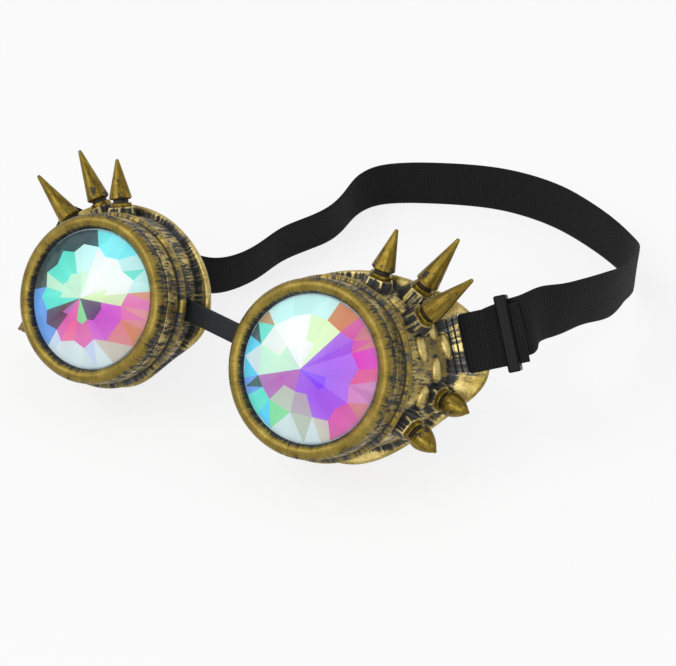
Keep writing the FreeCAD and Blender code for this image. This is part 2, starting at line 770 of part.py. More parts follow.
# The assembly

def standing_height(cup, side):
    """Height of the lens axis at the ring's front when the cup's lowest edge meets the table."""
    lying = mirrored(side, cup).copy()
    lying.Placement = cup_placement(side).multiply(lying.Placement)
    return -lying.optimalBoundingBox(False).ZMin


def placed(side, shape):
    """A piece of the right-hand cup's frame, moved to where it lies on its own side."""
    shape = mirrored(side, shape)
    shape.Placement = CUPS[side].multiply(shape.Placement)
    return shape


SIDES = ("right", "left")
CUP = eyecup()
CUPS = {side: cup_placement(side, standing_height(CUP, side)) for side in SIDES}

nodes = {}
for side in SIDES:
    cup = placed(side, CUP.copy())
    nodes[side + "_eyecup"] = cup.cut(bridge_strip(CLEARANCE))
    nodes[side + "_lens_ring"] = placed(side, lens_ring())
    nodes[side + "_lens"] = placed(side, lens())
    nodes[side + "_lens_gasket"] = placed(side, lens_gasket())
    for name in SPIKE_SEAT_shares:
        nodes[side + "_" + name] = placed(side, spike(name))
    collars = [placed(side, collar(name)) for name in SPIKE_SEAT_shares]
    nodes[side + "_spike_collars"] = Part.makeCompound(collars)
    screws = [placed(side, screw(name)) for name in SPIKE_SEAT_shares]
    nodes[side + "_spike_screws"] = Part.makeCompound(screws)
nodes["nose_bridge"] = nose_bridge()
nodes["head_strap"] = head_strap()
nodes["strap_adjuster"] = strap_adjuster()

os.makedirs("parts", exist_ok=True)
for name, shape in nodes.items():
    shape.exportStep("parts/" + name + ".step")
    solids = len(shape.Solids)
    print(name, "solids", solids, "valid", shape.isValid(), "volume mm3", round(shape.Volume, 1))
for side, place in CUPS.items():
    print(side, "lens axis height at the ring's front", round(place.Base.z, 3))
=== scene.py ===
import math

import bpy
import numpy as np
from mathutils import Matrix, Vector


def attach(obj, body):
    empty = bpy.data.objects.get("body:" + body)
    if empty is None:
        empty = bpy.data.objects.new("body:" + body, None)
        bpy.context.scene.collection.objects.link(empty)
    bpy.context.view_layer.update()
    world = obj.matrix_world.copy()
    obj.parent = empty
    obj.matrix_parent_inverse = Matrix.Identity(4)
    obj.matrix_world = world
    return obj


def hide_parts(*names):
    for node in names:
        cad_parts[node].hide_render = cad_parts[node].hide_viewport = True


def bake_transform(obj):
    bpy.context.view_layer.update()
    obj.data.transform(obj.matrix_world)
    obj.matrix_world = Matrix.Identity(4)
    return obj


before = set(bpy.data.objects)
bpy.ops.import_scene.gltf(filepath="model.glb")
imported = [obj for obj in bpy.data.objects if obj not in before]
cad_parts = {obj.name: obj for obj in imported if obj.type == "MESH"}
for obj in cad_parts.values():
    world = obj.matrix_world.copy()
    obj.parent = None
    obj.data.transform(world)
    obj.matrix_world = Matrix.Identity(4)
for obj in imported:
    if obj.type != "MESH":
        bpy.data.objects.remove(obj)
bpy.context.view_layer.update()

# Eyecups: two moulded ABS cups, mirror images, with a shoulder bead, a flaring wall with leaf bumps and
# spike bosses, and a slanted face flange. They are sprayed charcoal and then dry-brushed with brass paint,
# so raised edges and bumps are brass, and recesses, boss sides and the inside stay dark.
LENS_TILT = math.radians(29.9)
CUP_TURN = math.radians(3.5)
CUP_ANGLES = (LENS_TILT, CUP_TURN, 0.0)
# Bases are in world metres, and all other lengths in millimetres of the cup's own frame
CUP_BASE = {"right": (0.0444, 0.0, 0.044077), "left": (-0.0444, 0.0, 0.044758)}
SIDE_SIGN = {"right": 1.0, "left": -1.0}
WALL_START = 15.3
WALL_START_R = 29.7
WALL_END_MIDDLE = (2.5, 2.75)
WALL_END_HALF = (33.5, 29.0)
SEAT_STEP = 5
FLANGE_DEPTH = 31.0
FLANGE_SLANT = 0.21
SLOT_ANGLE = 23.7
SLOT_RADIUS = 41.5
# The pairs of inputs that a Map Range node maps from and to
FROM = (1, 2)
TO = (3, 4)


def linear(code):
    """One sRGB hex colour as linear red, green, blue and alpha, by the two-part sRGB curve."""
    channels = np.array([int(code[i:i + 2], 16) for i in (1, 3, 5)]) / 255
    curved = ((channels + 0.055) / 1.055) ** 2.4
    return (*np.where(channels <= 0.04045, channels / 12.92, curved).tolist(), 1.0)


def feed(tree, made, inputs):
    """Gives a node's inputs their values or the sockets that feed them. A pair of inputs takes a pair."""
    for keys, values in inputs.items():
        pairs = zip(keys, values) if isinstance(keys, tuple) else [(keys, values)]
        for key, value in pairs:
            if isinstance(value, bpy.types.NodeSocket):
                tree.links.new(value, made.inputs[key])
            else:
                made.inputs[key].default_value = value


def node(tree, kind, inputs=None, stops=None, **settings):
    """Adds one shader node and gives its outputs: settings are its properties, inputs what it is fed, and
    stops a ramp's places with their hex colours or plain numbers."""
    made = tree.nodes.new("ShaderNode" + kind)
    for name, value in settings.items():
        setattr(made, name, value)
    feed(tree, made, inputs or {})
    for index, (place, colour) in enumerate(stops or ()):
        ramp = made.color_ramp.elements
        point = ramp[index] if index < 2 else ramp.new(place)
        point.position = place
        point.color = linear(colour) if isinstance(colour, str) else (*colour, 1.0)
    return made.outputs


def blank_material(name):
    """A new material with its node tree and its Principled shader."""
    made = bpy.data.materials.new(name)
    made.use_nodes = True
    return made, made.node_tree, made.node_tree.nodes["Principled BSDF"]


def wall_point(angle, share):
    """Point on the flaring wall in millimetres: on a straight line from the bead's circle to the end oval."""
    a = np.radians(angle)
    start = np.array([WALL_START_R * np.cos(a), WALL_START, WALL_START_R * np.sin(a)])
    x = WALL_END_MIDDLE[0] + WALL_END_HALF[0] * np.cos(a)
    z = WALL_END_MIDDLE[1] + WALL_END_HALF[1] * np.sin(a)
    end = np.array([x, FLANGE_DEPTH + FLANGE_SLANT * x, z])
    return start + (end - start) * share


def wall_seat(angle, share):
    """Place and turn of a seat on the wall: x round the wall, as the chord over a step each way, and z
    straight out of it, as the cross product of the wall's line and that chord."""
    around = wall_point(angle + SEAT_STEP, share) - wall_point(angle - SEAT_STEP, share)
    out = np.cross(wall_point(angle, 1) - wall_point(angle, 0), around)
    out = out / np.linalg.norm(out)
    around = around - out * around.dot(out)
    around = around / np.linalg.norm(around)
    turn = Matrix(np.stack([around, np.cross(out, around), out], axis=1).tolist()).to_euler()
    return wall_point(angle, share).tolist(), turn


def slot_seat():
    """Place and turn of the strap slot in the flange: x outwards, y back through it, z along it."""
    a = math.radians(SLOT_ANGLE)
    normal = np.array([-FLANGE_SLANT, 1.0, 0.0])
    normal = normal / np.linalg.norm(normal)
    out = np.array([math.cos(a), FLANGE_SLANT * math.cos(a), math.sin(a)])
    out = out / np.linalg.norm(out)
    x = SLOT_RADIUS * math.cos(a)
    place = [x, FLANGE_DEPTH + FLANGE_SLANT * x, SLOT_RADIUS * math.sin(a)]
    turn = Matrix(np.stack([out, normal, np.cross(out, normal)], axis=1).tolist()).to_euler()
    return place, turn


def cup_place(tree, side):
    """Object coordinates as the cup's own millimetres: x to the temple, y back along the lens axis, z up."""
    turn = Matrix.Rotation(CUP_TURN, 3, "Y") @ Matrix.Rotation(LENS_TILT, 3, "X")
    away = turn @ Vector(CUP_BASE[side])
    where = node(tree, "TexCoord")["Object"]
    own = node(tree, "Mapping", {"Vector": where, "Rotation": CUP_ANGLES, "Location": -away})[0]
    size = (1000 * SIDE_SIGN[side], 1000, 1000)
    return node(tree, "VectorMath", {0: own, 1: size}, operation="MULTIPLY")[0]


def cup_facing(tree, side):
    """The way that the surface faces, in the cup's own axes."""
    where = node(tree, "TexCoord")["Normal"]
    own = node(tree, "Mapping", {"Vector": where, "Rotation": CUP_ANGLES}, vector_type="VECTOR")[0]
    return node(tree, "VectorMath", {0: own, 1: (SIDE_SIGN[side], 1, 1)}, operation="MULTIPLY")[0]


# Leaves: angle and share of each on the wall, their half sizes, and the shares of those where paint changes
LEAF_SEATS = ((55.3, 0.36), (37.6, 0.71), (24.0, 0.35), (24.9, 0.93), (9.0, 0.63), (-8.4, 0.41))
LEAF_HALF = (4.5, 2.6, 1.9)
LEAF_RIM = (1.1, 1.35)
LEAF_RIM_CATCH = (0.35, 1.0)
LEAF_CREST = (0.95, 1.1)
LEAF_CREST_CATCH = (1.3, 0.0)


def leaf_paint(tree, own, catch, painted_highlight):
    """Brass thins out in a rim round each leaf and is most on its crest, which also gets a painted highlight,
    by the distance from the leaf's middle in shares of its half sizes."""
    for seat in LEAF_SEATS:
        place, turn = wall_seat(*seat)
        ball = node(tree, "Mapping", {"Vector": own, "Location": place, "Rotation": turn, "Scale": LEAF_HALF},
                    vector_type="TEXTURE")[0]
        reach = node(tree, "VectorMath", {0: ball}, operation="LENGTH")["Value"]
        rim = node(tree, "MapRange", {0: reach, FROM: LEAF_RIM, TO: LEAF_RIM_CATCH})[0]
        crest = node(tree, "MapRange", {0: reach, FROM: LEAF_CREST, TO: LEAF_CREST_CATCH})[0]
        catch = node(tree, "Math", {0: catch, 1: rim}, operation="MULTIPLY")[0]
        catch = node(tree, "Math", {0: catch, 1: crest}, operation="MAXIMUM")[0]
        painted_highlight = node(tree, "Math", {0: painted_highlight, 1: crest}, operation="MAXIMUM")[0]
    return catch, painted_highlight


# Bosses: angle and share of each on the wall, and its spike's base over the wall. Then, in millimetres, where
# paint changes: from a boss's axis, up from the wall and down from its top
BOSS_SEATS = {
    "spike_inner": (77.4, 0.54, 6.1),
    "spike_middle": (58.5, 0.85, 8.4),
    "spike_outer": (42.0, 0.46, 7.0),
    "stud_upper": (-8.8, 0.74, 5.3),
    "stud_lower": (-26.4, 0.36, 6.4),
}
BOSS_BELOW_SPIKE = 2.7
BOSS_SIDES = 6
BOSS_ROOT = 3.0
BOSS_FOOT = (5.6, 7.0)
BOSS_FOOT_CATCH = (0.08, 1.0)
BOSS_EDGE = (0.8, 0.98)
BOSS_EDGE_CATCH = (0.0, 0.8)
BOSS_TOP = (0.9, 0.2)
BOSS_TOP_CATCH = (0.0, 0.7)
BOSS_RISE = (0.6, 1.2)
BOSS_NEAR = (6.2, 6.4)


def boss_paint(tree, own, catch):
    """Bosses are dark near their axis, with brass worn on to six edges, where the cosine of six times the
    angle round the axis nears one, and on to the top. Below the root, depth counts as distance from the axis
    too, so that the far side of the cup stays as it is."""
    for angle, down, stand in BOSS_SEATS.values():
        place, turn = wall_seat(angle, down)
        stub = node(tree, "Mapping", {"Vector": own, "Location": place, "Rotation": turn},
                    vector_type="TEXTURE")[0]
        sides = node(tree, "SeparateXYZ", {0: stub})
        below = node(tree, "Math", {0: sides["Z"], 1: BOSS_ROOT}, operation="ADD")[0]
        below = node(tree, "Math", {0: below, 1: 0.0}, operation="MINIMUM")[0]
        level = node(tree, "CombineXYZ", {0: sides["X"], 1: sides["Y"], 2: below})[0]
        reach = node(tree, "VectorMath", {0: level}, operation="LENGTH")["Value"]
        foot = node(tree, "MapRange", {0: reach, FROM: BOSS_FOOT, TO: BOSS_FOOT_CATCH})[0]
        catch = node(tree, "Math", {0: catch, 1: foot}, operation="MULTIPLY")[0]
        turned = node(tree, "Math", {0: sides["Y"], 1: sides["X"]}, operation="ARCTAN2")[0]
        turned = node(tree, "Math", {0: turned, 1: BOSS_SIDES}, operation="MULTIPLY")[0]
        turned = node(tree, "Math", {0: turned}, operation="COSINE")[0]
        edges = node(tree, "MapRange", {0: turned, FROM: BOSS_EDGE, TO: BOSS_EDGE_CATCH})[0]
        band = [stand - BOSS_BELOW_SPIKE - drop for drop in BOSS_TOP]
        top = node(tree, "MapRange", {0: sides["Z"], FROM: band, TO: BOSS_TOP_CATCH})[0]
        edges = node(tree, "Math", {0: edges, 1: top}, operation="MAXIMUM")[0]
        raised = node(tree, "MapRange", {0: sides["Z"], FROM: BOSS_RISE})[0]
        edges = node(tree, "Math", {0: edges, 1: raised}, operation="MULTIPLY")[0]
        close = node(tree, "MapRange", {0: reach, FROM: BOSS_NEAR, TO: (1.0, 0.0)})[0]
        edges = node(tree, "Math", {0: edges, 1: close}, operation="MULTIPLY")[0]
        catch = node(tree, "Math", {0: catch, 1: edges}, operation="MAXIMUM")[0]
    return catch


# Flange and slot, where paint changes: millimetres past the flange's middle plane and from the slot's middle,
# shares of the end oval for the shade, and the half sizes of the dark box round slot and relief grooves
CORNER = (-3.6, -2.2)
CORNER_CATCH = (1.0, 0.1)
# Painted light: more brass on the wall's temple side
TEMPLE_PAINTED_LIGHT = 0.12
FLANGE_FRONT = (-1.75, -1.3)
FLANGE_CATCH = (0.0, 0.9)
FLANGE_STREAKS = (1.0, 0.6)
# Painted highlight taken off the flange
FLANGE_PAINTED_HIGHLIGHT = -0.25
FLANGE_SHADE = (1.04, 1.09)
FLANGE_SHADE_CATCH = (0.25, 1.0)
SLOT_DIRT = (9.0, 14.0)
SLOT_DIRT_CATCH = (0.48, 1.0)
SLOT_DARK_IN = 1.9
SLOT_DARK_HALF = (3.4, 1.12, 10.4)
SLOT_DARK_EDGE = (0.98, 1.02)
FACING_INWARDS = (-0.5, -0.25)


def cup_paint(tree, side, own, radial, catch, streaky, painted_highlight):
    """How a cup's forms change the brushing: dark in the corner before the flange, more brass towards the
    temple as painted light on that side, an even flange with dirt by the slot, shade next to the wall and
    less painted highlight, then leaves, whose crests get a painted highlight, and bosses, and charcoal alone
    in the slot and on faces that look inwards."""
    axes = node(tree, "SeparateXYZ", {0: own})
    plane = node(tree, "Math", {0: axes["X"], 1: FLANGE_SLANT, 2: FLANGE_DEPTH}, operation="MULTIPLY_ADD")
    past = node(tree, "Math", {0: axes["Y"], 1: plane[0]}, operation="SUBTRACT")[0]
    corner = node(tree, "MapRange", {0: past, FROM: CORNER, TO: CORNER_CATCH},
                  interpolation_type="SMOOTHSTEP")
    catch = node(tree, "Math", {0: catch, 1: corner[0]}, operation="MULTIPLY")[0]
    # Painted light: more brass on the wall's temple side
    temple = node(tree, "SeparateXYZ", {0: radial})["X"]
    catch = node(tree, "Math", {0: temple, 1: TEMPLE_PAINTED_LIGHT, 2: catch}, operation="MULTIPLY_ADD")[0]
    place, turn = slot_seat()
    slot = node(tree, "Mapping", {"Vector": own, "Location": place, "Rotation": turn},
                vector_type="TEXTURE")[0]
    near = node(tree, "VectorMath", {0: slot}, operation="LENGTH")["Value"]
    clean = node(tree, "MapRange", {0: near, FROM: SLOT_DIRT, TO: SLOT_DIRT_CATCH})[0]
    flange = node(tree, "MapRange", {0: past, FROM: FLANGE_FRONT, TO: FLANGE_CATCH})[0]
    flange = node(tree, "Math", {0: flange, 1: clean}, operation="MULTIPLY")[0]
    middle = (WALL_END_MIDDLE[0], 0, WALL_END_MIDDLE[1])
    shares = (1 / WALL_END_HALF[0], 0, 1 / WALL_END_HALF[1])
    oval = node(tree, "VectorMath", {0: own, 1: middle}, operation="SUBTRACT")[0]
    oval = node(tree, "VectorMath", {0: oval, 1: shares}, operation="MULTIPLY")[0]
    oval = node(tree, "VectorMath", {0: oval}, operation="LENGTH")["Value"]
    shaded = node(tree, "MapRange", {0: oval, FROM: FLANGE_SHADE, TO: FLANGE_SHADE_CATCH})[0]
    flange = node(tree, "Math", {0: flange, 1: shaded}, operation="MULTIPLY")[0]
    catch = node(tree, "Math", {0: catch, 1: flange}, operation="MAXIMUM")[0]
    painted_highlight = node(tree, "Math", {0: flange, 1: FLANGE_PAINTED_HIGHLIGHT, 2: painted_highlight}, operation="MULTIPLY_ADD")[0]
    calm = node(tree, "MapRange", {0: past, FROM: FLANGE_FRONT, TO: FLANGE_STREAKS})[0]
    streaky = node(tree, "Math", {0: streaky, 1: calm}, operation="MULTIPLY")[0]
    catch, painted_highlight = leaf_paint(tree, own, catch, painted_highlight)
    catch = boss_paint(tree, own, catch)
    box = node(tree, "VectorMath", {0: slot, 1: (SLOT_DARK_IN, 0, 0)}, operation="ADD")[0]
    box = node(tree, "VectorMath", {0: box, 1: SLOT_DARK_HALF}, operation="DIVIDE")[0]
    box = node(tree, "VectorMath", {0: box}, operation="ABSOLUTE")[0]
    sides = node(tree, "SeparateXYZ", {0: box})
    most = node(tree, "Math", {0: sides["X"], 1: sides["Y"]}, operation="MAXIMUM")[0]
    most = node(tree, "Math", {0: most, 1: sides["Z"]}, operation="MAXIMUM")[0]
    outside = node(tree, "MapRange", {0: most, FROM: SLOT_DARK_EDGE})[0]
    catch = node(tree, "Math", {0: catch, 1: outside}, operation="MULTIPLY")[0]
    facing = cup_facing(tree, side)
    outwards = node(tree, "VectorMath", {0: facing, 1: radial}, operation="DOT_PRODUCT")["Value"]
    painted = node(tree, "MapRange", {0: outwards, FROM: FACING_INWARDS})[0]
    catch = node(tree, "Math", {0: catch, 1: painted}, operation="MULTIPLY")[0]
    streaky = node(tree, "Math", {0: streaky, 1: painted}, operation="MULTIPLY")[0]
    return catch, streaky, painted_highlight


# Brushing: sizes of streaks, at a radius, and of blotches and grit, in millimetres; then how much each noise
# weighs in the uneven catch, and how much each noise and the painted highlight weigh in the shine
BRASS_STOPS = ((0.15, "#463817"), (0.45, "#6f5e28"), (0.7, "#8f7b3a"), (1.0, "#cfbb7c"))
CHARCOAL_STOPS = ((0.35, "#1a1916"), (0.55, "#383836"), (0.75, "#626469"))
STREAK_WIDTH = 0.9
STREAK_RADIUS = 30.6
STREAK_LENGTH = 5.0
BLOTCH_SIZE = 7.143
GRIT_SIZE = 0.625
UNEVEN_WEIGHTS = (1.5, 2.3, 0.5)
SHINE_WEIGHTS = (0.35, 0.8, 0.25, 0.4)
SHINE_LEVEL = -0.23
BRASS_EDGE = (0.24, 0.68)
DUST_EDGE = (0.1, 0.5)
PAINT_METALLIC = (0.1, 0.8)
PAINT_ROUGHNESS = (0.55, 0.36)


def brushed_brass(name, side, depth_stops, depth_span, dust, cup):
    """Brass paint dry-brushed over charcoal: the eye sees a dull grey-black under a satin gleam of brass that
    breaks into streaks along the cup, about 0.9 mm wide and 5 mm long, in blotches of about 7 mm. The ramp
    over the depth behind the ring's front gives how much brass catches (red), how streaky it is (green) and
    how strong a painted highlight it gets on crests and edges (blue). Dust lightens the charcoal where brass
    catches."""
    made, tree, shader = blank_material(name)
    own = cup_place(tree, side)
    flat = node(tree, "VectorMath", {0: own, 1: (1, 0, 1)}, operation="MULTIPLY")[0]
    radius = node(tree, "VectorMath", {0: flat}, operation="LENGTH")["Value"]
    radial = node(tree, "VectorMath", {0: flat}, operation="NORMALIZE")[0]
    depth = node(tree, "SeparateXYZ", {0: own})["Y"]
    depth = node(tree, "MapRange", {0: depth, FROM: depth_span})[0]
    ramp = node(tree, "ValToRGB", {0: depth}, stops=depth_stops)
    share = node(tree, "SeparateColor", {0: ramp[0]})
    streaks_per_radian = STREAK_RADIUS / STREAK_WIDTH
    round_scale = (streaks_per_radian, 0, streaks_per_radian)
    long_scale = (0, 1 / STREAK_LENGTH, 0)
    around = node(tree, "VectorMath", {0: radial, 1: round_scale}, operation="MULTIPLY")[0]
    along = node(tree, "VectorMath", {0: own, 1: long_scale}, operation="MULTIPLY")[0]
    lines = node(tree, "VectorMath", {0: around, 1: along}, operation="ADD")[0]
    streak = node(tree, "TexNoise", {"Vector": lines, "Scale": 1.0, "Detail": 2.0, "Roughness": 0.6})[0]
    blotch = node(tree, "TexNoise", {
        "Vector": own, "Scale": 1 / BLOTCH_SIZE, "Detail": 3.0, "Roughness": 0.6})[0]
    grit = node(tree, "TexNoise", {"Vector": own, "Scale": 1 / GRIT_SIZE, "Detail": 2.0})[0]
    uneven = -sum(UNEVEN_WEIGHTS) / 2
    for part, weight in zip((blotch, streak, grit), UNEVEN_WEIGHTS):
        uneven = node(tree, "Math", {0: part, 1: weight, 2: uneven}, operation="MULTIPLY_ADD")[0]
    # The ramp's blue is the painted highlight on crests and edges
    catch, streaky, painted_highlight = share["Red"], share["Green"], share["Blue"]
    if cup:
        catch, streaky, painted_highlight = cup_paint(tree, side, own, radial, catch, streaky, painted_highlight)
    else:
        mouth = node(tree, "MapRange", {0: radius, FROM: MOUTH_DARK})[0]
        catch = node(tree, "Math", {0: catch, 1: mouth}, operation="MULTIPLY")[0]
    rough = node(tree, "Math", {0: uneven, 1: streaky}, operation="MULTIPLY")[0]
    amount = node(tree, "Math", {0: rough, 1: catch}, operation="ADD")[0]
    brass = node(tree, "MapRange", {0: amount, FROM: BRASS_EDGE}, interpolation_type="SMOOTHSTEP")[0]
    shine = SHINE_LEVEL
    for part, weight in zip((grit, blotch, streak, painted_highlight), SHINE_WEIGHTS):
        shine = node(tree, "Math", {0: part, 1: weight, 2: shine}, operation="MULTIPLY_ADD")[0]
    gold = node(tree, "ValToRGB", {0: shine}, stops=BRASS_STOPS)[0]
    dusty = node(tree, "MapRange", {0: catch, FROM: DUST_EDGE, TO: (0.0, dust)})[0]
    dusty = node(tree, "Math", {0: streak, 1: dusty}, operation="ADD")[0]
    coal = node(tree, "ValToRGB", {0: dusty}, stops=CHARCOAL_STOPS)[0]
    colour = node(tree, "Mix", {0: brass, 6: coal, 7: gold}, data_type="RGBA")[2]
    metal = node(tree, "MapRange", {0: brass, TO: PAINT_METALLIC})[0]
    gloss = node(tree, "MapRange", {0: brass, TO: PAINT_ROUGHNESS})[0]
    height = node(tree, "Math", {0: grit, 1: 0.5, 2: brass}, operation="MULTIPLY_ADD")[0]
    bump = node(tree, "Bump", {"Height": height, "Strength": 0.6, "Distance": 0.0001})[0]
    feed(tree, shader, {"Base Color": colour, "Metallic": metal, "Roughness": gloss, "Normal": bump,
                        "Specular IOR Level": 0.3})
    return made


def dress(name, finish):
    """Gives a CAD node its finish."""
    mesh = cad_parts[name].data
    mesh.materials.clear()
    mesh.materials.append(finish)


CUP_DUST = 0.2
CUP_DEPTH_SPAN = (11.0, 31.0)
# Shares of the depth span, each with how much brass catches, how streaky it is and its painted highlight
CUP_CATCH = (
    (0.0, (0.1, 0.3, 0.0)), (0.085, (0.45, 0.9, 0.3)), (0.13, (0.85, 0.6, 0.6)), (0.18, (0.42, 1.0, 0.2)),
    (0.21, (0.05, 0.1, 0.0)), (0.235, (0.3, 1.0, 0.5)), (0.3, (0.5, 1.0, 1.0)), (1.0, (0.54, 1.0, 1.0)),
)
for side in SIDE_SIGN:
    finish = brushed_brass(side + "_cup_brushed_brass", side, CUP_CATCH, CUP_DEPTH_SPAN, CUP_DUST, True)
    dress(side + "_eyecup", finish)

# Lens rings: turned-looking moulded ABS rings with a half-round lip, one groove and a plain grip band, in
# the same dry-brushed paint, screwed on the cups' necks. The lip's crest is brass and its edges carry dark
# dashes, the groove and the mouth are dark and the band is streaky.
RING_DUST = 0.06
MOUTH_DARK = (24.95, 25.8)
RING_DEPTH_SPAN = (0.0, 13.0)
# Shares of the depth span, each with how much brass catches, how streaky it is and its painted highlight
RING_CATCH = (
    (0.0, (0.9, 0.6, 0.25)), (0.05, (0.76, 0.9, 0.25)), (0.12, (0.5, 1.0, 0.25)), (0.2, (0.36, 1.0, 0.35)),
    (0.32, (0.46, 1.0, 0.5)), (0.35, (0.05, 0.2, 0.0)), (0.385, (0.05, 0.2, 0.0)), (0.41, (0.66, 1.0, 1.0)),
    (0.5, (0.52, 1.0, 0.75)), (0.85, (0.5, 1.0, 0.75)), (0.93, (0.05, 0.4, 0.0)),
)
for side in SIDE_SIGN:
    finish = brushed_brass(side + "_ring_brushed_brass", side, RING_CATCH, RING_DEPTH_SPAN, RING_DUST, False)
    dress(side + "_lens_ring", finish)

# Lens gaskets: flat moulded rubber rings between each lens and its cup's neck, pressed there by the ring.
# Moulded rubber gives the eye a dull near-black, with faint grey dust in clouds of 2.5 mm.
GASKET_STOPS = ((0.3, "#0f0f10"), (0.8, "#232325"))
GASKET_DUST_SIZE = 2.5


def clouded(name, size, detail, stops, settings, relief=None):
    """A material whose shades are mixed by a noise with cells of a size in millimetres. A relief is the size
    and detail of a second noise, and how strongly and how many metres deep it dents the surface."""
    made, tree, shader = blank_material(name)
    where = node(tree, "TexCoord")["Object"]
    noise = node(tree, "TexNoise", {"Vector": where, "Scale": 1000 / size, "Detail": detail})[0]
    feed(tree, shader, {"Base Color": node(tree, "ValToRGB", {0: noise}, stops=stops)[0], **settings})
    if relief:
        dent_size, dent_detail, strength, deep = relief
        dents = {"Vector": where, "Scale": 1000 / dent_size, "Detail": dent_detail}
        dents = node(tree, "TexNoise", dents)[0]
        bump = node(tree, "Bump", {"Height": dents, "Strength": strength, "Distance": deep})[0]
        feed(tree, shader, {"Normal": bump})
    return made


gasket_rubber = clouded("gasket_rubber", GASKET_DUST_SIZE, 3.0, GASKET_STOPS, {"Roughness": 0.75})
for side in SIDE_SIGN:
    dress(side + "_lens_gasket", gasket_rubber)

# Lenses: moulded acrylic, cut like a gem into a star of facets round the middle and a skirt of facets out
# to the rim, with a dichroic film that turns each facet its own colour. Each drops into its ring's pocket.
CROWN_R = 24.4
GEM_R = 25.2
# Depths behind the ring's front; the slope and the core go by shares of GEM_R
CROWN_APEX = -4.3
CROWN_SLOPE = 5.1
CROWN_EDGE = 2.4
CROWN_CORE = 0.36
LENS_RIM_R = 27.0
LENS_RIM_FRONT = 3.08
LENS_RIM_BACK = 5.95
# How much and in what rhythm the tint changes from facet to facet, and how far it runs towards a corner
FACET_CHANGE = 0.04
FACET_RHYTHM = 2.399
CORNER_RUN = 0.2
FILM = {
    "white": "#f1f7f4", "mint": "#c4f2d4", "lime": "#d8f6bd", "ice": "#d2e6ea", "pale_cyan": "#c4f8f6",
    "cyan": "#6cf0f8", "aqua": "#5ce8d4", "sky": "#43d0f6", "blue": "#5f9cec", "pale_blue": "#c6d8f8",
    "sage": "#b6c4b2", "stone": "#cbc8b8", "mauve": "#b3a6b4", "violet": "#9d55e8", "deep_violet": "#7f34fa",
    "magenta": "#cf55d2", "hot_pink": "#e63ccb", "rose": "#dc58ac", "pink": "#e65c96", "salmon": "#d97f86",
    "orange": "#d4804f", "orchid": "#b565b8", "teal": "#0a2c36", "maroon": "#5a3346", "green": "#7ddc96",
    "dusk": "#4d3f63", "umber": "#262528", "tan": "#b98a4e", "candy": "#cd7abc", "moss": "#1c4a34",
}
# Star points by angle and share of the radius, with the film's colours in the core and body of the facet
# that follows each point
STAR = {
    "right": (
        (-98, 0.60, "violet", "mauve"), (-68, 0.63, "violet", "violet"), (-52, 0.74, "violet", "violet"),
        (-38, 0.67, "deep_violet", "violet"), (-24, 0.74, "deep_violet", "violet"),
        (-6, 0.66, "violet", "violet"), (12, 0.75, "violet", "violet"), (29, 0.69, "violet", "violet"),
        (40, 0.77, "violet", "violet"), (55, 0.69, "lime", "lime"), (75, 0.70, "white", "lime"),
        (95, 0.72, "white", "white"), (115, 0.70, "white", "white"), (140, 0.72, "mint", "white"),
        (165, 0.72, "mint", "mint"), (199, 0.69, "orchid", "orchid"), (213, 0.66, "orchid", "orchid"),
        (230, 0.65, "orchid", "sage"),
    ),
    "left": (
        (1, 0.60, "lime", "lime"), (17, 0.69, "lime", "white"), (29, 0.80, "white", "white"),
        (43, 0.70, "white", "white"), (57, 0.74, "white", "white"), (72, 0.66, "white", "white"),
        (86, 0.74, "mint", "pale_cyan"), (105, 0.76, "mint", "pale_cyan"), (118, 0.68, "mint", "aqua"),
        (132, 0.78, "mint", "aqua"), (146, 0.68, "mint", "aqua"), (162, 0.76, "mint", "mint"),
        (177, 0.68, "mint", "aqua"), (189, 0.75, "aqua", "aqua"), (205, 0.66, "maroon", "maroon"),
        (219, 0.75, "orchid", "maroon"), (234, 0.64, "rose", "rose"), (247, 0.72, "rose", "pink"),
        (265, 0.61, "green", "rose"), (280, 0.69, "green", "rose"), (297, 0.585, "dusk", "magenta"),
        (312, 0.68, "dusk", "magenta"), (345, 0.66, "dusk", "magenta"),
    ),
}
# Film colours of the skirt from each angle on: next to the star, then at the rim
SKIRT = {
    "right": (
        (-98, "sage", "ice"), (-75, "stone", "stone"), (-58, "rose", "rose"), (-30, "candy", "salmon"),
        (-14, "candy", "candy"), (2, "pink", "pink"), (15, "hot_pink", "hot_pink"), (30, "rose", "salmon"),
        (44, "rose", "rose"), (57, "orange", "orange"), (76, "pale_cyan", "pale_cyan"),
        (141, "pale_cyan", "tan"), (150, "aqua", "teal"), (164, "mint", "sky"), (178, "ice", "tan"),
        (190, "sky", "sky"), (200, "moss", "blue"), (214, "aqua", "aqua"), (234, "green", "sky"),
        (248, "sage", "ice"),
    ),
    "left": (
        (0, "rose", "rose"), (12, "orange", "orange"), (20, "pale_cyan", "pale_cyan"),
        (34, "aqua", "pale_cyan"), (48, "pale_cyan", "cyan"), (62, "cyan", "cyan"), (95, "teal", "teal"),
        (160, "umber", "umber"), (183, "blue", "blue"), (232, "pale_blue", "ice"), (255, "ice", "ice"),
        (282, "pale_blue", "ice"), (303, "stone", "stone"), (322, "salmon", "orange"),
        (345, "rose", "salmon"),
    ),
}


def own_to_world(points, side):
    """Cup millimetres, x to the right of the picture, as world metres: turned, tilted back and moved."""
    turn = np.array(Matrix.Rotation(-LENS_TILT, 3, "X") @ Matrix.Rotation(-CUP_TURN, 3, "Y"))
    return points / 1000 @ turn.T + np.array(CUP_BASE[side])


def ring_points(angles, radius, depth):
    """Points round the lens axis at the given angles, radius and depth, as rows of x, y, z."""
    level = np.broadcast_to(np.asarray(depth, float), angles.shape)
    return np.stack([radius * np.cos(angles), level, radius * np.sin(angles)], axis=1)


def film_colours(names):
    """The film's colours by name, as rows of linear colour."""
    return np.array([linear(FILM[name]) for name in names])


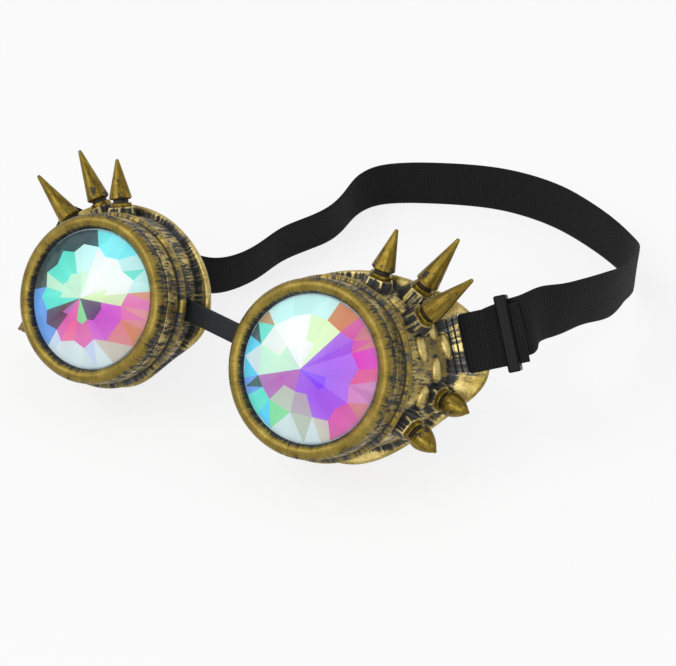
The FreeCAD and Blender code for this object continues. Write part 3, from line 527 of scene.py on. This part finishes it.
def placed(name, data):
    """A mesh, camera or lamp as an object of the scene, at the origin."""
    made = bpy.data.objects.new(name, data)
    bpy.context.scene.collection.objects.link(made)
    return made


def linked_object(name, mesh, finish):
    """A mesh as an object of the scene in one finish."""
    mesh.materials.append(finish)
    return placed(name, mesh)


# Dichroic film on acrylic gives the eye one clear colour in each facet, under a sharp gloss
lens_film, tree, shader = blank_material("dichroic_acrylic")
film = node(tree, "VertexColor", layer_name="film")[0]
feed(tree, shader, {"Base Color": film, "Roughness": 0.08, "IOR": 1.49, "Specular IOR Level": 0.3})
for side in SIDE_SIGN:
    # Rings of points: core and star at the star's angles, then edge, foot and rim at twice as many angles
    star = STAR[side]
    count = len(star)
    angles = np.radians([row[0] for row in star])
    shares = np.array([row[1] for row in star])
    after = np.append(angles[1:], angles[0] + 2 * np.pi)
    both = np.stack([angles, (angles + after) / 2], axis=1).ravel()
    inner = CROWN_CORE * shares / shares.mean()
    core = ring_points(angles, GEM_R * inner, CROWN_APEX + CROWN_SLOPE * inner)
    tips = ring_points(angles, GEM_R * shares, CROWN_APEX + CROWN_SLOPE * shares)
    edge = ring_points(both, CROWN_R, CROWN_EDGE)
    foot = ring_points(both, CROWN_R, LENS_RIM_FRONT)
    rim_front = ring_points(both, LENS_RIM_R, LENS_RIM_FRONT)
    rim_back = ring_points(both, LENS_RIM_R, LENS_RIM_BACK)
    middles = np.array([[0.0, CROWN_APEX, 0.0], [0.0, LENS_RIM_BACK, 0.0]])
    points = np.concatenate([middles, core, tips, edge, foot, rim_front, rim_back])
    one = np.arange(count)
    two = np.roll(one, -1)
    core_at, tip_at, edge_at = 2, 2 + count, 2 + 2 * count
    half = edge_at + 2 * one + 1
    apex = np.zeros(count, int)
    tables = [
        np.stack([apex, core_at + two, core_at + one], axis=1),
        np.stack([core_at + one, core_at + two, tip_at + two, tip_at + one], axis=1),
        np.stack([tip_at + one, half, edge_at + 2 * one], axis=1),
        np.stack([tip_at + one, tip_at + two, half], axis=1),
        np.stack([tip_at + two, edge_at + 2 * two, half], axis=1),
    ]
    many = np.arange(2 * count)
    more = np.roll(many, -1)
    for ring in range(3):
        low = edge_at + 2 * count * ring
        high = low + 2 * count
        tables.append(np.stack([low + many, low + more, high + more, high + many], axis=1))
    back_at = edge_at + 6 * count
    tables.append(np.stack([np.ones(2 * count, int), back_at + many, back_at + more], axis=1))
    faces = [row for table in tables for row in table.tolist()]
    # A facet's colour: core and body as listed, the skirt's by the angle of each facet's middle
    skirt_from = np.radians([row[0] for row in SKIRT[side]])
    quarter = (after - angles) / 4
    lists = [film_colours([row[2] for row in star]), film_colours([row[3] for row in star])]
    for middle, column in ((angles + quarter, 2), (angles + 2 * quarter, 1), (angles + 3 * quarter, 2)):
        turned = (middle - skirt_from[0]) % (2 * np.pi) + skirt_from[0]
        picked = np.searchsorted(skirt_from, turned, side="right") - 1
        lists.append(film_colours([SKIRT[side][index][column] for index in picked]))
    plain = len(faces) - 5 * count
    lists.append(np.tile(film_colours(["ice"]), (plain, 1)))
    # Each facet a little lighter or darker than its neighbours, always in the same way
    tints = np.concatenate(lists)
    shift = 1 + FACET_CHANGE * np.sin(np.arange(len(tints)) * FACET_RHYTHM)
    tints[:, :3] = np.clip(tints[:, :3] * shift[:, None], 0, 1)
    mesh = bpy.data.meshes.new(side + "_faceted_lens")
    mesh.from_pydata(own_to_world(points, side).tolist(), [], faces)
    # Towards a corner, a facet's colour runs a fifth of the way to the mean of the facets that meet there
    sizes = [len(face) for face in faces]
    corners = np.repeat(tints, sizes, axis=0)
    meets = np.concatenate([np.array(face) for face in faces])
    total = np.zeros((len(points), 4))
    np.add.at(total, meets, corners)
    mean = total / np.bincount(meets, minlength=len(points))[:, None]
    corners = corners * (1 - CORNER_RUN) + mean[meets] * CORNER_RUN
    layer = mesh.color_attributes.new("film", "FLOAT_COLOR", "CORNER")
    layer.data.foreach_set("color", corners.astype(np.float32).ravel())
    lens = linked_object(side + "_faceted_lens", mesh, lens_film)
    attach(lens, side + "_lens_stack")
    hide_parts(side + "_lens")

# Spikes and studs: cast resin cones in bronze paint, each on a washer-like collar and held by a slotted
# screw from inside the cup. The paint is smooth with dark specks, and a painted shade darkens it where the
# cone meets its collar.
BRONZE_STOPS = ((0.25, "#554410"), (0.5, "#78631e"), (0.75, "#a08938"))
# Dark colour of the specks and patches, and of the painted shade at each cone's foot
SPECK_AND_SHADE_COLOUR = "#241f16"
# Millimetres of a streak across and along the cone, between specks and of worn patches, and the levels of the
# patterns where specks and wear begin
BRONZE_STREAK_SIZE = (1.25, 1.25, 8.333)
SPECK_SPACING = 2.5
SPECK_EDGE = (0.1, 0.16)
WEAR_SIZE = 2.857
WEAR_EDGE = (0.72, 0.66)
# Millimetres over a cone's base: where the painted shade of the foot ends, and how far up dark patches grow
# more common
SHADED_FOOT_END = (-0.2, 0.5)
DARK_PATCH_REACH = 7.0
DARK_PATCH_GAIN = (0.16, 0.0)
# The collars' base is set far below them, so that none of their paint gets a foot's painted shade
COLLAR_BASE = -60.0


def spike_bronze(name, side, seat, base):
    """Bronze paint gives the eye a soft metal sheen with faint streaks along the cone and dark specks, 0.5 mm
    across and some 2.5 mm apart. Below the cone's base, a height over the wall, the shank is dark as painted
    shade, and dark patches grow more common towards the base."""
    made, tree, shader = blank_material(name)
    own = cup_place(tree, side)
    place, turn = wall_seat(*seat)
    stub = node(tree, "Mapping", {"Vector": own, "Location": place, "Rotation": turn},
                vector_type="TEXTURE")[0]
    up = node(tree, "SeparateXYZ", {0: stub})["Z"]
    lines = node(tree, "VectorMath", {0: stub, 1: BRONZE_STREAK_SIZE}, operation="DIVIDE")[0]
    streak = node(tree, "TexNoise", {"Vector": lines, "Scale": 1.0, "Detail": 3.0})[0]
    speck = node(tree, "TexVoronoi", {"Vector": own, "Scale": 1 / SPECK_SPACING})["Distance"]
    patch = node(tree, "TexNoise", {"Vector": own, "Scale": 1 / WEAR_SIZE, "Detail": 3.0})[0]
    bronze = node(tree, "ValToRGB", {0: streak}, stops=BRONZE_STOPS)[0]
    clear = node(tree, "MapRange", {0: speck, FROM: SPECK_EDGE})[0]
    # Painted shade: the shank below the cone's base is dark, and dark patches grow more common towards the
    # base
    foot = node(tree, "MapRange", {0: up, FROM: [base + end for end in SHADED_FOOT_END]})[0]
    low = node(tree, "MapRange", {0: up, FROM: (base, base + DARK_PATCH_REACH), TO: DARK_PATCH_GAIN})[0]
    worn = node(tree, "Math", {0: patch, 1: low}, operation="ADD")[0]
    worn = node(tree, "MapRange", {0: worn, FROM: WEAR_EDGE})[0]
    clean = node(tree, "Math", {0: clear, 1: worn}, operation="MULTIPLY")[0]
    clean = node(tree, "Math", {0: clean, 1: foot}, operation="MULTIPLY")[0]
    colour = node(tree, "Mix", {0: clean, 6: linear(SPECK_AND_SHADE_COLOUR), 7: bronze}, data_type="RGBA")[2]
    metal = node(tree, "MapRange", {0: clean, TO: (0.1, 0.8)})[0]
    gloss = node(tree, "MapRange", {0: clean, TO: (0.6, 0.34)})[0]
    bump = node(tree, "Bump", {"Height": clean, "Strength": 0.4, "Distance": 0.0001})[0]
    feed(tree, shader, {"Base Color": colour, "Metallic": metal, "Roughness": gloss, "Normal": bump})
    return made


# Zinc plating on steel gives the eye a cool grey metal with a soft grain of about 1.1 mm
ZINC_STOPS = ((0.3, "#66686b"), (0.7, "#8b8d90"))
ZINC_GRAIN_SIZE = 1.111
ZINC_SHEEN = {"Metallic": 1.0, "Roughness": 0.35}
screw_zinc = clouded("zinc_plated_steel", ZINC_GRAIN_SIZE, 2.0, ZINC_STOPS, ZINC_SHEEN)
for side in SIDE_SIGN:
    for name, (angle, down, base) in BOSS_SEATS.items():
        dress(side + "_" + name, spike_bronze(side + "_" + name + "_bronze", side, (angle, down), base))
    collar_seat = BOSS_SEATS["spike_middle"][:2]
    dress(side + "_spike_collars", spike_bronze(side + "_collar_bronze", side, collar_seat, COLLAR_BASE))
    dress(side + "_spike_screws", screw_zinc)

# Nose bridge: a moulded strip of dark grey rubber, pushed through both nasal walls, with a flat head inside
# each cup.
BRIDGE_MIDDLE = np.array([-0.1587, 17.4179, 37.3953])
BRIDGE_ALONG = np.array([0.989880, -0.060634, -0.128297])
BRIDGE_UP = np.array([0.141428, 0.495508, 0.857012])
BRIDGE_HALF = (1.6 / 2, 7.2 / 2)
BRIDGE_HEAD_HALF = (3.4 / 2, 10.4 / 2)
BRIDGE_HEAD_FROM = 17.5
BRIDGE_END = 19.2
BRIDGE_STATIONS = 61
BRIDGE_SECTION_POINTS = 40
BRIDGE_SQUARING = 0.25
RUBBER_STOPS = ((0.3, "#15181a"), (0.75, "#232729"))
RUBBER_HAZE_SIZE = 11.11
RUBBER_PORES = (0.4, 1.0, 0.25, 0.00005)
RUBBER_SHEEN = {"Roughness": 0.5, "Specular IOR Level": 0.2}


def swept_mesh(name, middle, across, through, widths, depths):
    """Closed surface swept along stations: at each station the section's points lie at widths along the
    across direction and depths along the through direction. Both ends are capped with one face each."""
    grid = middle[:, None] + across[:, None] * widths[..., None] + through[:, None] * depths[..., None]
    rows, columns = widths.shape
    at = np.arange(rows * columns).reshape(rows, columns)
    beside = np.roll(at, -1, axis=1)
    quads = np.stack([at[:-1], beside[:-1], beside[1:], at[1:]], axis=-1).reshape(-1, 4)
    made = bpy.data.meshes.new(name)
    faces = quads.tolist() + [at[0][::-1].tolist(), at[-1].tolist()]
    made.from_pydata(grid.reshape(-1, 3).tolist(), [], faces)
    made.polygons.foreach_set("use_smooth", [True] * len(quads) + [False, False])
    return made


# Moulded rubber gives the eye a dark grey with a weak sheen, an 11 mm haze of wear and 0.4 mm pores
bridge_rubber = clouded("moulded_rubber", RUBBER_HAZE_SIZE, 4.0, RUBBER_STOPS, RUBBER_SHEEN, RUBBER_PORES)
stations = np.linspace(-BRIDGE_HEAD_FROM, BRIDGE_HEAD_FROM, BRIDGE_STATIONS)
stations = np.concatenate([[-BRIDGE_END, -BRIDGE_HEAD_FROM], stations, [BRIDGE_HEAD_FROM, BRIDGE_END]])
is_head = np.ones(len(stations), bool)
is_head[2:-2] = False
half_t = np.where(is_head, BRIDGE_HEAD_HALF[0], BRIDGE_HALF[0])[:, None]
half_h = np.where(is_head, BRIDGE_HEAD_HALF[1], BRIDGE_HALF[1])[:, None]
# Section: an oval squared off by a small power of the sine and cosine round it
turn = np.linspace(0, 2 * np.pi, BRIDGE_SECTION_POINTS, endpoint=False)[None, :]
ups = half_h * np.sign(np.sin(turn)) * np.abs(np.sin(turn)) ** BRIDGE_SQUARING
outs = half_t * np.sign(np.cos(turn)) * np.abs(np.cos(turn)) ** BRIDGE_SQUARING
steady = np.ones((len(stations), 1))
middle = BRIDGE_MIDDLE + stations[:, None] * BRIDGE_ALONG
through = np.cross(BRIDGE_UP, BRIDGE_ALONG)
mesh = swept_mesh("rubber_bridge", middle / 1000, steady * BRIDGE_UP / 1000, steady * through / 1000,
                  ups, outs)
bridge = linked_object("rubber_bridge", mesh, bridge_rubber)
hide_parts("nose_bridge")
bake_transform(bridge)

# Head strap: black woven elastic, about 20 mm wide, with 14 ribs along it. It goes round the bar of each
# flange's slot: doubled through the adjuster on the right, folded back and sewn on the left.
STRAP_HALF_WIDTH = 10.2
STRAP_HALF_THICK = 0.64
STRAP_RIBS = 14
RIB_DEPTH = 0.07
# Steps along the strap, points of its curves, and how many neighbours even out its line, width and twist
FOLD_STEP = 0.7
FREE_STEP = 1.0
ROUTE_POINTS = 4000
WRAP_POINTS = 17
SECTION_POINTS = 71
LINE_EVENING = 1
WIDTH_EVENING = 3
TWIST_EVENING = 4
# How much the section's points crowd to its edges, and the power that rounds the edges
EDGE_CROWDING = 0.25
EDGE_POWER = 10
# The slots in world millimetres: middles, and the ways outwards, back through the flange and along
SLOT_PLACE = {"right": (81.3108, 43.2477, 41.0904), "left": (-83.3475, 40.9349, 37.7495)}
SLOT_OUT = {"right": (0.873416, 0.387454, 0.294999), "left": (-0.921609, 0.332726, 0.199823)}
SLOT_BACK = {"right": (-0.205134, 0.842137, -0.498723), "left": (0.205134, 0.854646, -0.476970)}
SLOT_ALONG = {"right": (-0.441662, 0.375079, 0.815016), "left": (0.329479, 0.398590, 0.855903)}
# Folds, outwards and backwards from a slot's middle: round its bar, doubled on the right, sewn on the left
WRAP_R = 2.5
WRAP_RUN = 7.9
WRAP_SNUG = 0.18
LAYER_OFFSET = 1.35
RIGHT_FRONT = ((20.5, -LAYER_OFFSET), (10.3, -LAYER_OFFSET), (WRAP_RUN, -WRAP_R))
RIGHT_BACK = ((WRAP_RUN, WRAP_R), (10.3, LAYER_OFFSET), (19.0, LAYER_OFFSET))
BACK_RISE = (0.0, 0.5, 2.0)
LEFT_KNEES = ((WRAP_RUN, -WRAP_R), (10.1, -0.4), (9.7, 2.6))
SEWN_FROM = np.array([6.0, 6.5])
SEWN_TURN = math.radians(115.0)
SEWN_RUN = 4.0
SEWN_OFFSET = 0.7
STRAP_LEAD = 0.8
# The free strap's middle line in shares of its size, then how its width leans: the share of the way, and
# x and y for each unit of z
STRAP_SIZE = np.array([111.5, 212.0, 37.0])
STRAP_ROUTE = np.array([
    (0.891, 0.295, 1.005), (0.924, 0.337, 0.964), (0.961, 0.382, 0.935), (0.988, 0.434, 0.87),
    (0.996, 0.519, 0.69), (0.967, 0.64, 0.48), (0.93, 0.73, 0.265), (0.875, 0.815, 0.075),
    (0.8, 0.87, 0.01), (0.71, 0.91, 0), (0.59, 0.95, 0), (0.46, 0.983, 0),
    (0.32, 1, 0), (0.185, 1, 0), (0.055, 0.983, 0), (-0.075, 0.955, 0),
    (-0.185, 0.923, 0), (-0.258, 0.885, 0), (-0.285, 0.835, 0), (-0.272, 0.762, 0),
    (-0.268, 0.69, 0), (-0.3, 0.63, 0), (-0.338, 0.57, 0), (-0.35, 0.505, 0),
    (-0.375, 0.44, 0), (-0.43, 0.396, 0.01), (-0.5, 0.378, 0.045), (-0.58, 0.358, 0.15),
    (-0.655, 0.33, 0.31), (-0.715, 0.29, 0.46),
])
STRAP_LEAN = np.array([
    (0, -0.5, 0.42), (0.03, -0.1, 0.05), (0.08, 0.1, -0.05), (0.2, 0.1, 0.02), (0.3, -0.02, 0.02),
    (0.36, -0.08, 0.1), (0.42, -0.08, 0.12), (0.5, -0.04, 0.04), (0.58, 0, 0.02), (0.65, 0.04, -0.06),
    (0.74, 0.18, -0.28), (0.84, 0.2, -0.3), (0.9, 0.2, -0.1), (0.96, 0.45, 0.1), (1, 0.36, 0.42),
])


def in_slot(side, pairs):
    """Points given outwards and backwards in a slot's own frame, as world millimetres."""
    pairs = np.asarray(pairs, float)
    return np.array(SLOT_PLACE[side]) + pairs[:, :1] * SLOT_OUT[side] + pairs[:, 1:] * SLOT_BACK[side]


def spaced(points, step):
    """Points at even steps along the straight runs between the given points."""
    runs = np.linalg.norm(np.diff(points[:, :3], axis=0), axis=1)
    reach = np.append(0, np.cumsum(runs))
    at = np.linspace(0, reach[-1], max(int(reach[-1] / step), 2))
    return np.stack([np.interp(at, reach, column) for column in points.T], axis=1)


def smooth_route(points, step):
    """Smooth line through the points: cubic pieces with even curvature where they meet, over lengths of
    chord, whose end slopes are those of a parabola through three points; then spaced at even steps."""
    runs = np.linalg.norm(np.diff(points, axis=0), axis=1)
    knots = np.append(0, np.cumsum(runs))
    slopes = np.diff(points, axis=0) / runs[:, None]
    count = len(points)
    matrix = np.eye(count)
    target = np.zeros_like(points)
    target[0] = slopes[0] + (slopes[0] - slopes[1]) * runs[0] / (runs[0] + runs[1])
    target[-1] = slopes[-1] + (slopes[-1] - slopes[-2]) * runs[-1] / (runs[-1] + runs[-2])
    inner = np.arange(1, count - 1)
    matrix[inner, inner - 1] = 1 / runs[:-1]
    matrix[inner, inner] = 2 / runs[:-1] + 2 / runs[1:]
    matrix[inner, inner + 1] = 1 / runs[1:]
    target[inner] = 3 * (slopes[:-1] / runs[:-1, None] + slopes[1:] / runs[1:, None])
    tangents = np.linalg.solve(matrix, target)
    fine = np.linspace(0, knots[-1], ROUTE_POINTS)
    piece = np.clip(np.searchsorted(knots, fine, side="right") - 1, 0, count - 2)
    run = runs[piece][:, None]
    u = (fine - knots[piece])[:, None] / run
    line = points[piece] * (1 + 2 * u) * (1 - u) ** 2 + points[piece + 1] * u ** 2 * (3 - 2 * u)
    line += run * (tangents[piece] * u * (1 - u) ** 2 - tangents[piece + 1] * u ** 2 * (1 - u))
    return spaced(line, step)


def evened(rows, reach):
    """Each row as the mean of its neighbours up to reach away, with the first and last kept."""
    padded = np.concatenate([np.repeat(rows[:1], reach, 0), rows, np.repeat(rows[-1:], reach, 0)])
    total = np.cumsum(np.concatenate([np.zeros((1, rows.shape[1])), padded]), axis=0)
    mean = (total[2 * reach + 1:] - total[:-2 * reach - 1]) / (2 * reach + 1)
    mean[0] = rows[0]
    mean[-1] = rows[-1]
    return mean


half_turn = np.linspace(0, np.pi, WRAP_POINTS)
wrap = np.stack([WRAP_R - (WRAP_R + WRAP_SNUG) * np.sin(half_turn), -WRAP_R * np.cos(half_turn)], axis=1)
right_line = in_slot("right", np.concatenate([RIGHT_FRONT, wrap, RIGHT_BACK]))
right_line[-3:] += np.outer(BACK_RISE, SLOT_ALONG["right"])
sewn_way = np.array([math.cos(SEWN_TURN), math.sin(SEWN_TURN)])
sewn_off = np.array([-sewn_way[1], sewn_way[0]]) * SEWN_OFFSET
sewn_back = np.stack([SEWN_FROM + sewn_way * SEWN_RUN + sewn_off, SEWN_FROM + sewn_off])
sewn_front = np.stack([SEWN_FROM - sewn_off, SEWN_FROM + sewn_way * SEWN_RUN - sewn_off])
left_line = in_slot("left", np.concatenate([sewn_back, wrap[::-1], LEFT_KNEES, sewn_front]))
sewn_end = left_line[0] + STRAP_LEAD * (in_slot("left", [sewn_way])[0] - np.array(SLOT_PLACE["left"]))
lead = right_line[-1] + STRAP_LEAD * np.array(SLOT_OUT["right"])
free = STRAP_ROUTE * STRAP_SIZE + np.array([0, 0, STRAP_HALF_WIDTH])
free_points = np.concatenate([right_line[-1:], [lead], free, [sewn_end], left_line[:1]])
free_line = smooth_route(free_points, FREE_STEP)
free_share = np.linspace(0, 1, len(free_line))
lean = np.stack([np.interp(free_share, STRAP_LEAN[:, 0], STRAP_LEAN[:, k]) for k in (1, 2)], axis=1)
free_wide = np.concatenate([lean, np.ones((len(lean), 1))], axis=1)
free_wide /= np.linalg.norm(free_wide, axis=1)[:, None]
right_line = spaced(right_line, FOLD_STEP)
left_line = spaced(left_line, FOLD_STEP)
right_wide = np.tile(SLOT_ALONG["right"], (len(right_line), 1))
left_wide = np.tile(SLOT_ALONG["left"], (len(left_line), 1))
line = evened(np.concatenate([right_line, free_line[1:-1], left_line]), LINE_EVENING)
wide = evened(np.concatenate([right_wide, free_wide[1:-1], left_wide]), WIDTH_EVENING)
tangent = np.gradient(line, axis=0)
tangent /= np.linalg.norm(tangent, axis=1)[:, None]
side_way = np.cross(tangent, wide)
side_way /= np.linalg.norm(side_way, axis=1)[:, None]
wide = evened(np.cross(side_way, tangent), TWIST_EVENING)
wide /= np.linalg.norm(wide, axis=1)[:, None]
# Nothing of the strap goes below the table
lowest = line[:, 2] - np.abs(wide[:, 2]) * STRAP_HALF_WIDTH - np.abs(side_way[:, 2]) * STRAP_HALF_THICK
line[:, 2] -= np.minimum(lowest, 0)
# Section: ribs are a cosine across the width, and both faces close at the edges like a squared oval
spread = np.linspace(-1, 1, SECTION_POINTS)
crowded = (1 - EDGE_CROWDING) * spread + EDGE_CROWDING * np.sin(np.pi / 2 * spread)
edge_to_edge = STRAP_HALF_WIDTH * crowded
rounding = np.sqrt(np.clip(1 - (edge_to_edge / STRAP_HALF_WIDTH) ** EDGE_POWER, 0, 1))
ribs = np.cos(np.pi * STRAP_RIBS * edge_to_edge / STRAP_HALF_WIDTH)
face = (STRAP_HALF_THICK - RIB_DEPTH * (0.5 + 0.5 * ribs)) * rounding
section_wide = np.concatenate([edge_to_edge, edge_to_edge[-2:0:-1]])
section_thick = np.concatenate([face, -face[-2:0:-1]])
rows = np.ones((len(line), 1))
mesh = swept_mesh("elastic_strap", line / 1000, wide / 1000, -side_way / 1000,
                  rows * section_wide, rows * section_thick)
# The weave's own millimetres, along and across the strap
reach = np.append(0, np.cumsum(np.linalg.norm(np.diff(line, axis=0), axis=1)))
weave = np.zeros((len(line), len(section_wide), 3))
weave[..., 0] = reach[:, None]
weave[..., 1] = section_wide
layer = mesh.attributes.new("weave", "FLOAT_VECTOR", "POINT")
layer.data.foreach_set("vector", weave.astype(np.float32).ravel())

# Woven elastic gives the eye a dull black with fine chevrons, and ribs whose valleys are darkened as painted
# shade. A chevron is 1.3 mm long here, where a real one is under 1 mm, so that it shows
CHEVRON_LENGTH = 1.3
CHEVRON_LEAN = 0.9
RIB_HALF_WIDTH = STRAP_HALF_WIDTH / STRAP_RIBS
FUZZ_SIZE = 0.4
CHEVRON_RELIEF = 0.5
RIB_RELIEF_AND_SHADE = 1.4
RELIEF_SPAN = (0.3, 2.4)
ELASTIC_STOPS = ((0.0, "#070708"), (0.55, "#131314"), (1.0, "#262627"))
strap_elastic, tree, shader = blank_material("woven_elastic")
thread = node(tree, "Attribute", attribute_name="weave")["Vector"]
axes = node(tree, "SeparateXYZ", {0: thread})
slant = node(tree, "Math", {0: axes["Y"], 1: RIB_HALF_WIDTH}, operation="PINGPONG")[0]
phase = node(tree, "Math", {0: slant, 1: CHEVRON_LEAN, 2: axes["X"]}, operation="MULTIPLY_ADD")[0]
chevron = node(tree, "Math", {0: phase, 1: 2 * math.pi / CHEVRON_LENGTH}, operation="MULTIPLY")[0]
chevron = node(tree, "Math", {0: chevron}, operation="SINE")[0]
fuzz = node(tree, "TexNoise", {"Vector": thread, "Scale": 1 / FUZZ_SIZE, "Detail": 3.0})[0]
# The ribs darken the colour in their valleys as painted shade, and dent the surface too
rib = node(tree, "Math", {0: slant, 1: math.pi / RIB_HALF_WIDTH}, operation="MULTIPLY")[0]
rib = node(tree, "Math", {0: rib}, operation="SINE")[0]
relief = fuzz
for part, weight in ((chevron, CHEVRON_RELIEF), (rib, RIB_RELIEF_AND_SHADE)):
    relief = node(tree, "Math", {0: part, 1: weight, 2: relief}, operation="MULTIPLY_ADD")[0]
weave_and_rib_shade = node(tree, "MapRange", {0: relief, FROM: RELIEF_SPAN})[0]
black = node(tree, "ValToRGB", {0: weave_and_rib_shade}, stops=ELASTIC_STOPS)[0]
bump = node(tree, "Bump", {"Height": relief, "Strength": 0.5, "Distance": 0.00012})[0]
feed(tree, shader, {"Base Color": black, "Normal": bump, "Roughness": 0.85, "Specular IOR Level": 0.2})
strap = linked_object("elastic_strap", mesh, strap_elastic)
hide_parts("head_strap")
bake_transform(strap)

# Strap adjuster: a two-window slide moulded in black nylon, threaded on the doubled strap by the right cup.
# Satin nylon gives the eye a deep black with a soft sheen and a skin grain of about 0.8 mm.
SKIN_STOPS = ((0.3, "#070708"), (0.75, "#0e0e0f"))
SKIN_GRAIN_SIZE = 0.8333
SKIN_RELIEF = (SKIN_GRAIN_SIZE, 2.0, 0.2, 0.00005)
SKIN_SHEEN = {"Roughness": 0.38, "Specular IOR Level": 0.12}
adjuster_nylon = clouded("satin_nylon", SKIN_GRAIN_SIZE, 2.0, SKIN_STOPS, SKIN_SHEEN, SKIN_RELIEF)
dress("strap_adjuster", adjuster_nylon)

# Studio: the camera at the photograph's angle, a plain white floor, a soft sun from the upper left, a wide
# softbox in front and an even white sky. The floor is matt white board, and floor and sky look white to the
# camera, in gloss and through clear pieces, but light the goggles less.
CAMERA_AZIMUTH = math.radians(29.22)
CAMERA_ELEVATION = math.radians(32.26)
CAMERA_PLACE = (0.25208, -0.34999, 0.3147)
IMAGE_WIDTH = 676
FOCAL_PIXELS = 1498.8
SENSOR_WIDTH = 36
FLOOR_HALF = 6
FLOOR_GLOW = 0.8
SUN_POWER = 0.8
SUN_SPREAD = math.radians(40)
SUN_TURN = (42, -12, -25)
SOFTBOX_SIZE = (1.1, 0.6)
SOFTBOX_POWER = 5.5
SOFTBOX_PLACE = (0.35, -1.35, 0.75)
SOFTBOX_TURN = (62, 0, 14)
SKY_LEVEL = 0.58


def seen(tree):
    """One for rays from the camera, off gloss or through clear pieces, and nought for the rest."""
    path = node(tree, "LightPath")
    share = path["Is Camera Ray"]
    for kind in ("Is Glossy Ray", "Is Transmission Ray"):
        share = node(tree, "Math", {0: share, 1: path[kind]}, operation="MAXIMUM")[0]
    return share


camera = placed("camera", bpy.data.cameras.new("camera"))
camera.data.sensor_fit = "HORIZONTAL"
camera.data.sensor_width = SENSOR_WIDTH
camera.data.lens = FOCAL_PIXELS * SENSOR_WIDTH / IMAGE_WIDTH
aim = Matrix.Rotation(CAMERA_AZIMUTH, 4, "Z") @ Matrix.Rotation(math.pi / 2 - CAMERA_ELEVATION, 4, "X")
camera.matrix_world = Matrix.Translation(CAMERA_PLACE) @ aim
bpy.context.scene.camera = camera

floor_white, tree, shader = blank_material("white_floor")
feed(tree, shader, {"Base Color": linear("#fbfbfb"), "Roughness": 0.9, "Specular IOR Level": 0.0})
share = node(tree, "Math", {0: seen(tree), 1: FLOOR_GLOW}, operation="MULTIPLY")[0]
glow = node(tree, "Emission")[0]
both = node(tree, "MixShader", {0: share, 1: shader.outputs[0], 2: glow})[0]
feed(tree, tree.nodes["Material Output"], {"Surface": both})
mesh = bpy.data.meshes.new("floor")
corners = [(x * FLOOR_HALF, y * FLOOR_HALF, 0) for x, y in ((-1, -1), (1, -1), (1, 1), (-1, 1))]
mesh.from_pydata(corners, [], [(0, 1, 2, 3)])
linked_object("floor", mesh, floor_white)

sun = bpy.data.lights.new("soft_sun", "SUN")
sun.energy = SUN_POWER
sun.angle = SUN_SPREAD
placed("soft_sun", sun).rotation_euler = [math.radians(angle) for angle in SUN_TURN]

softbox = bpy.data.lights.new("front_softbox", "AREA")
softbox.shape = "RECTANGLE"
softbox.size, softbox.size_y = SOFTBOX_SIZE
softbox.energy = SOFTBOX_POWER
lamp = placed("front_softbox", softbox)
lamp.location = SOFTBOX_PLACE
lamp.rotation_euler = [math.radians(angle) for angle in SOFTBOX_TURN]

sky = bpy.data.worlds.new("white_sky")
sky.use_nodes = True
tree = sky.node_tree
level = node(tree, "MapRange", {0: seen(tree), TO: (SKY_LEVEL, 1.0)})[0]
feed(tree, tree.nodes["Background"], {"Strength": level, "Color": (1.0, 1.0, 1.0, 1.0)})
bpy.context.scene.world = sky
bpy.context.scene.view_settings.view_transform = "Standard"
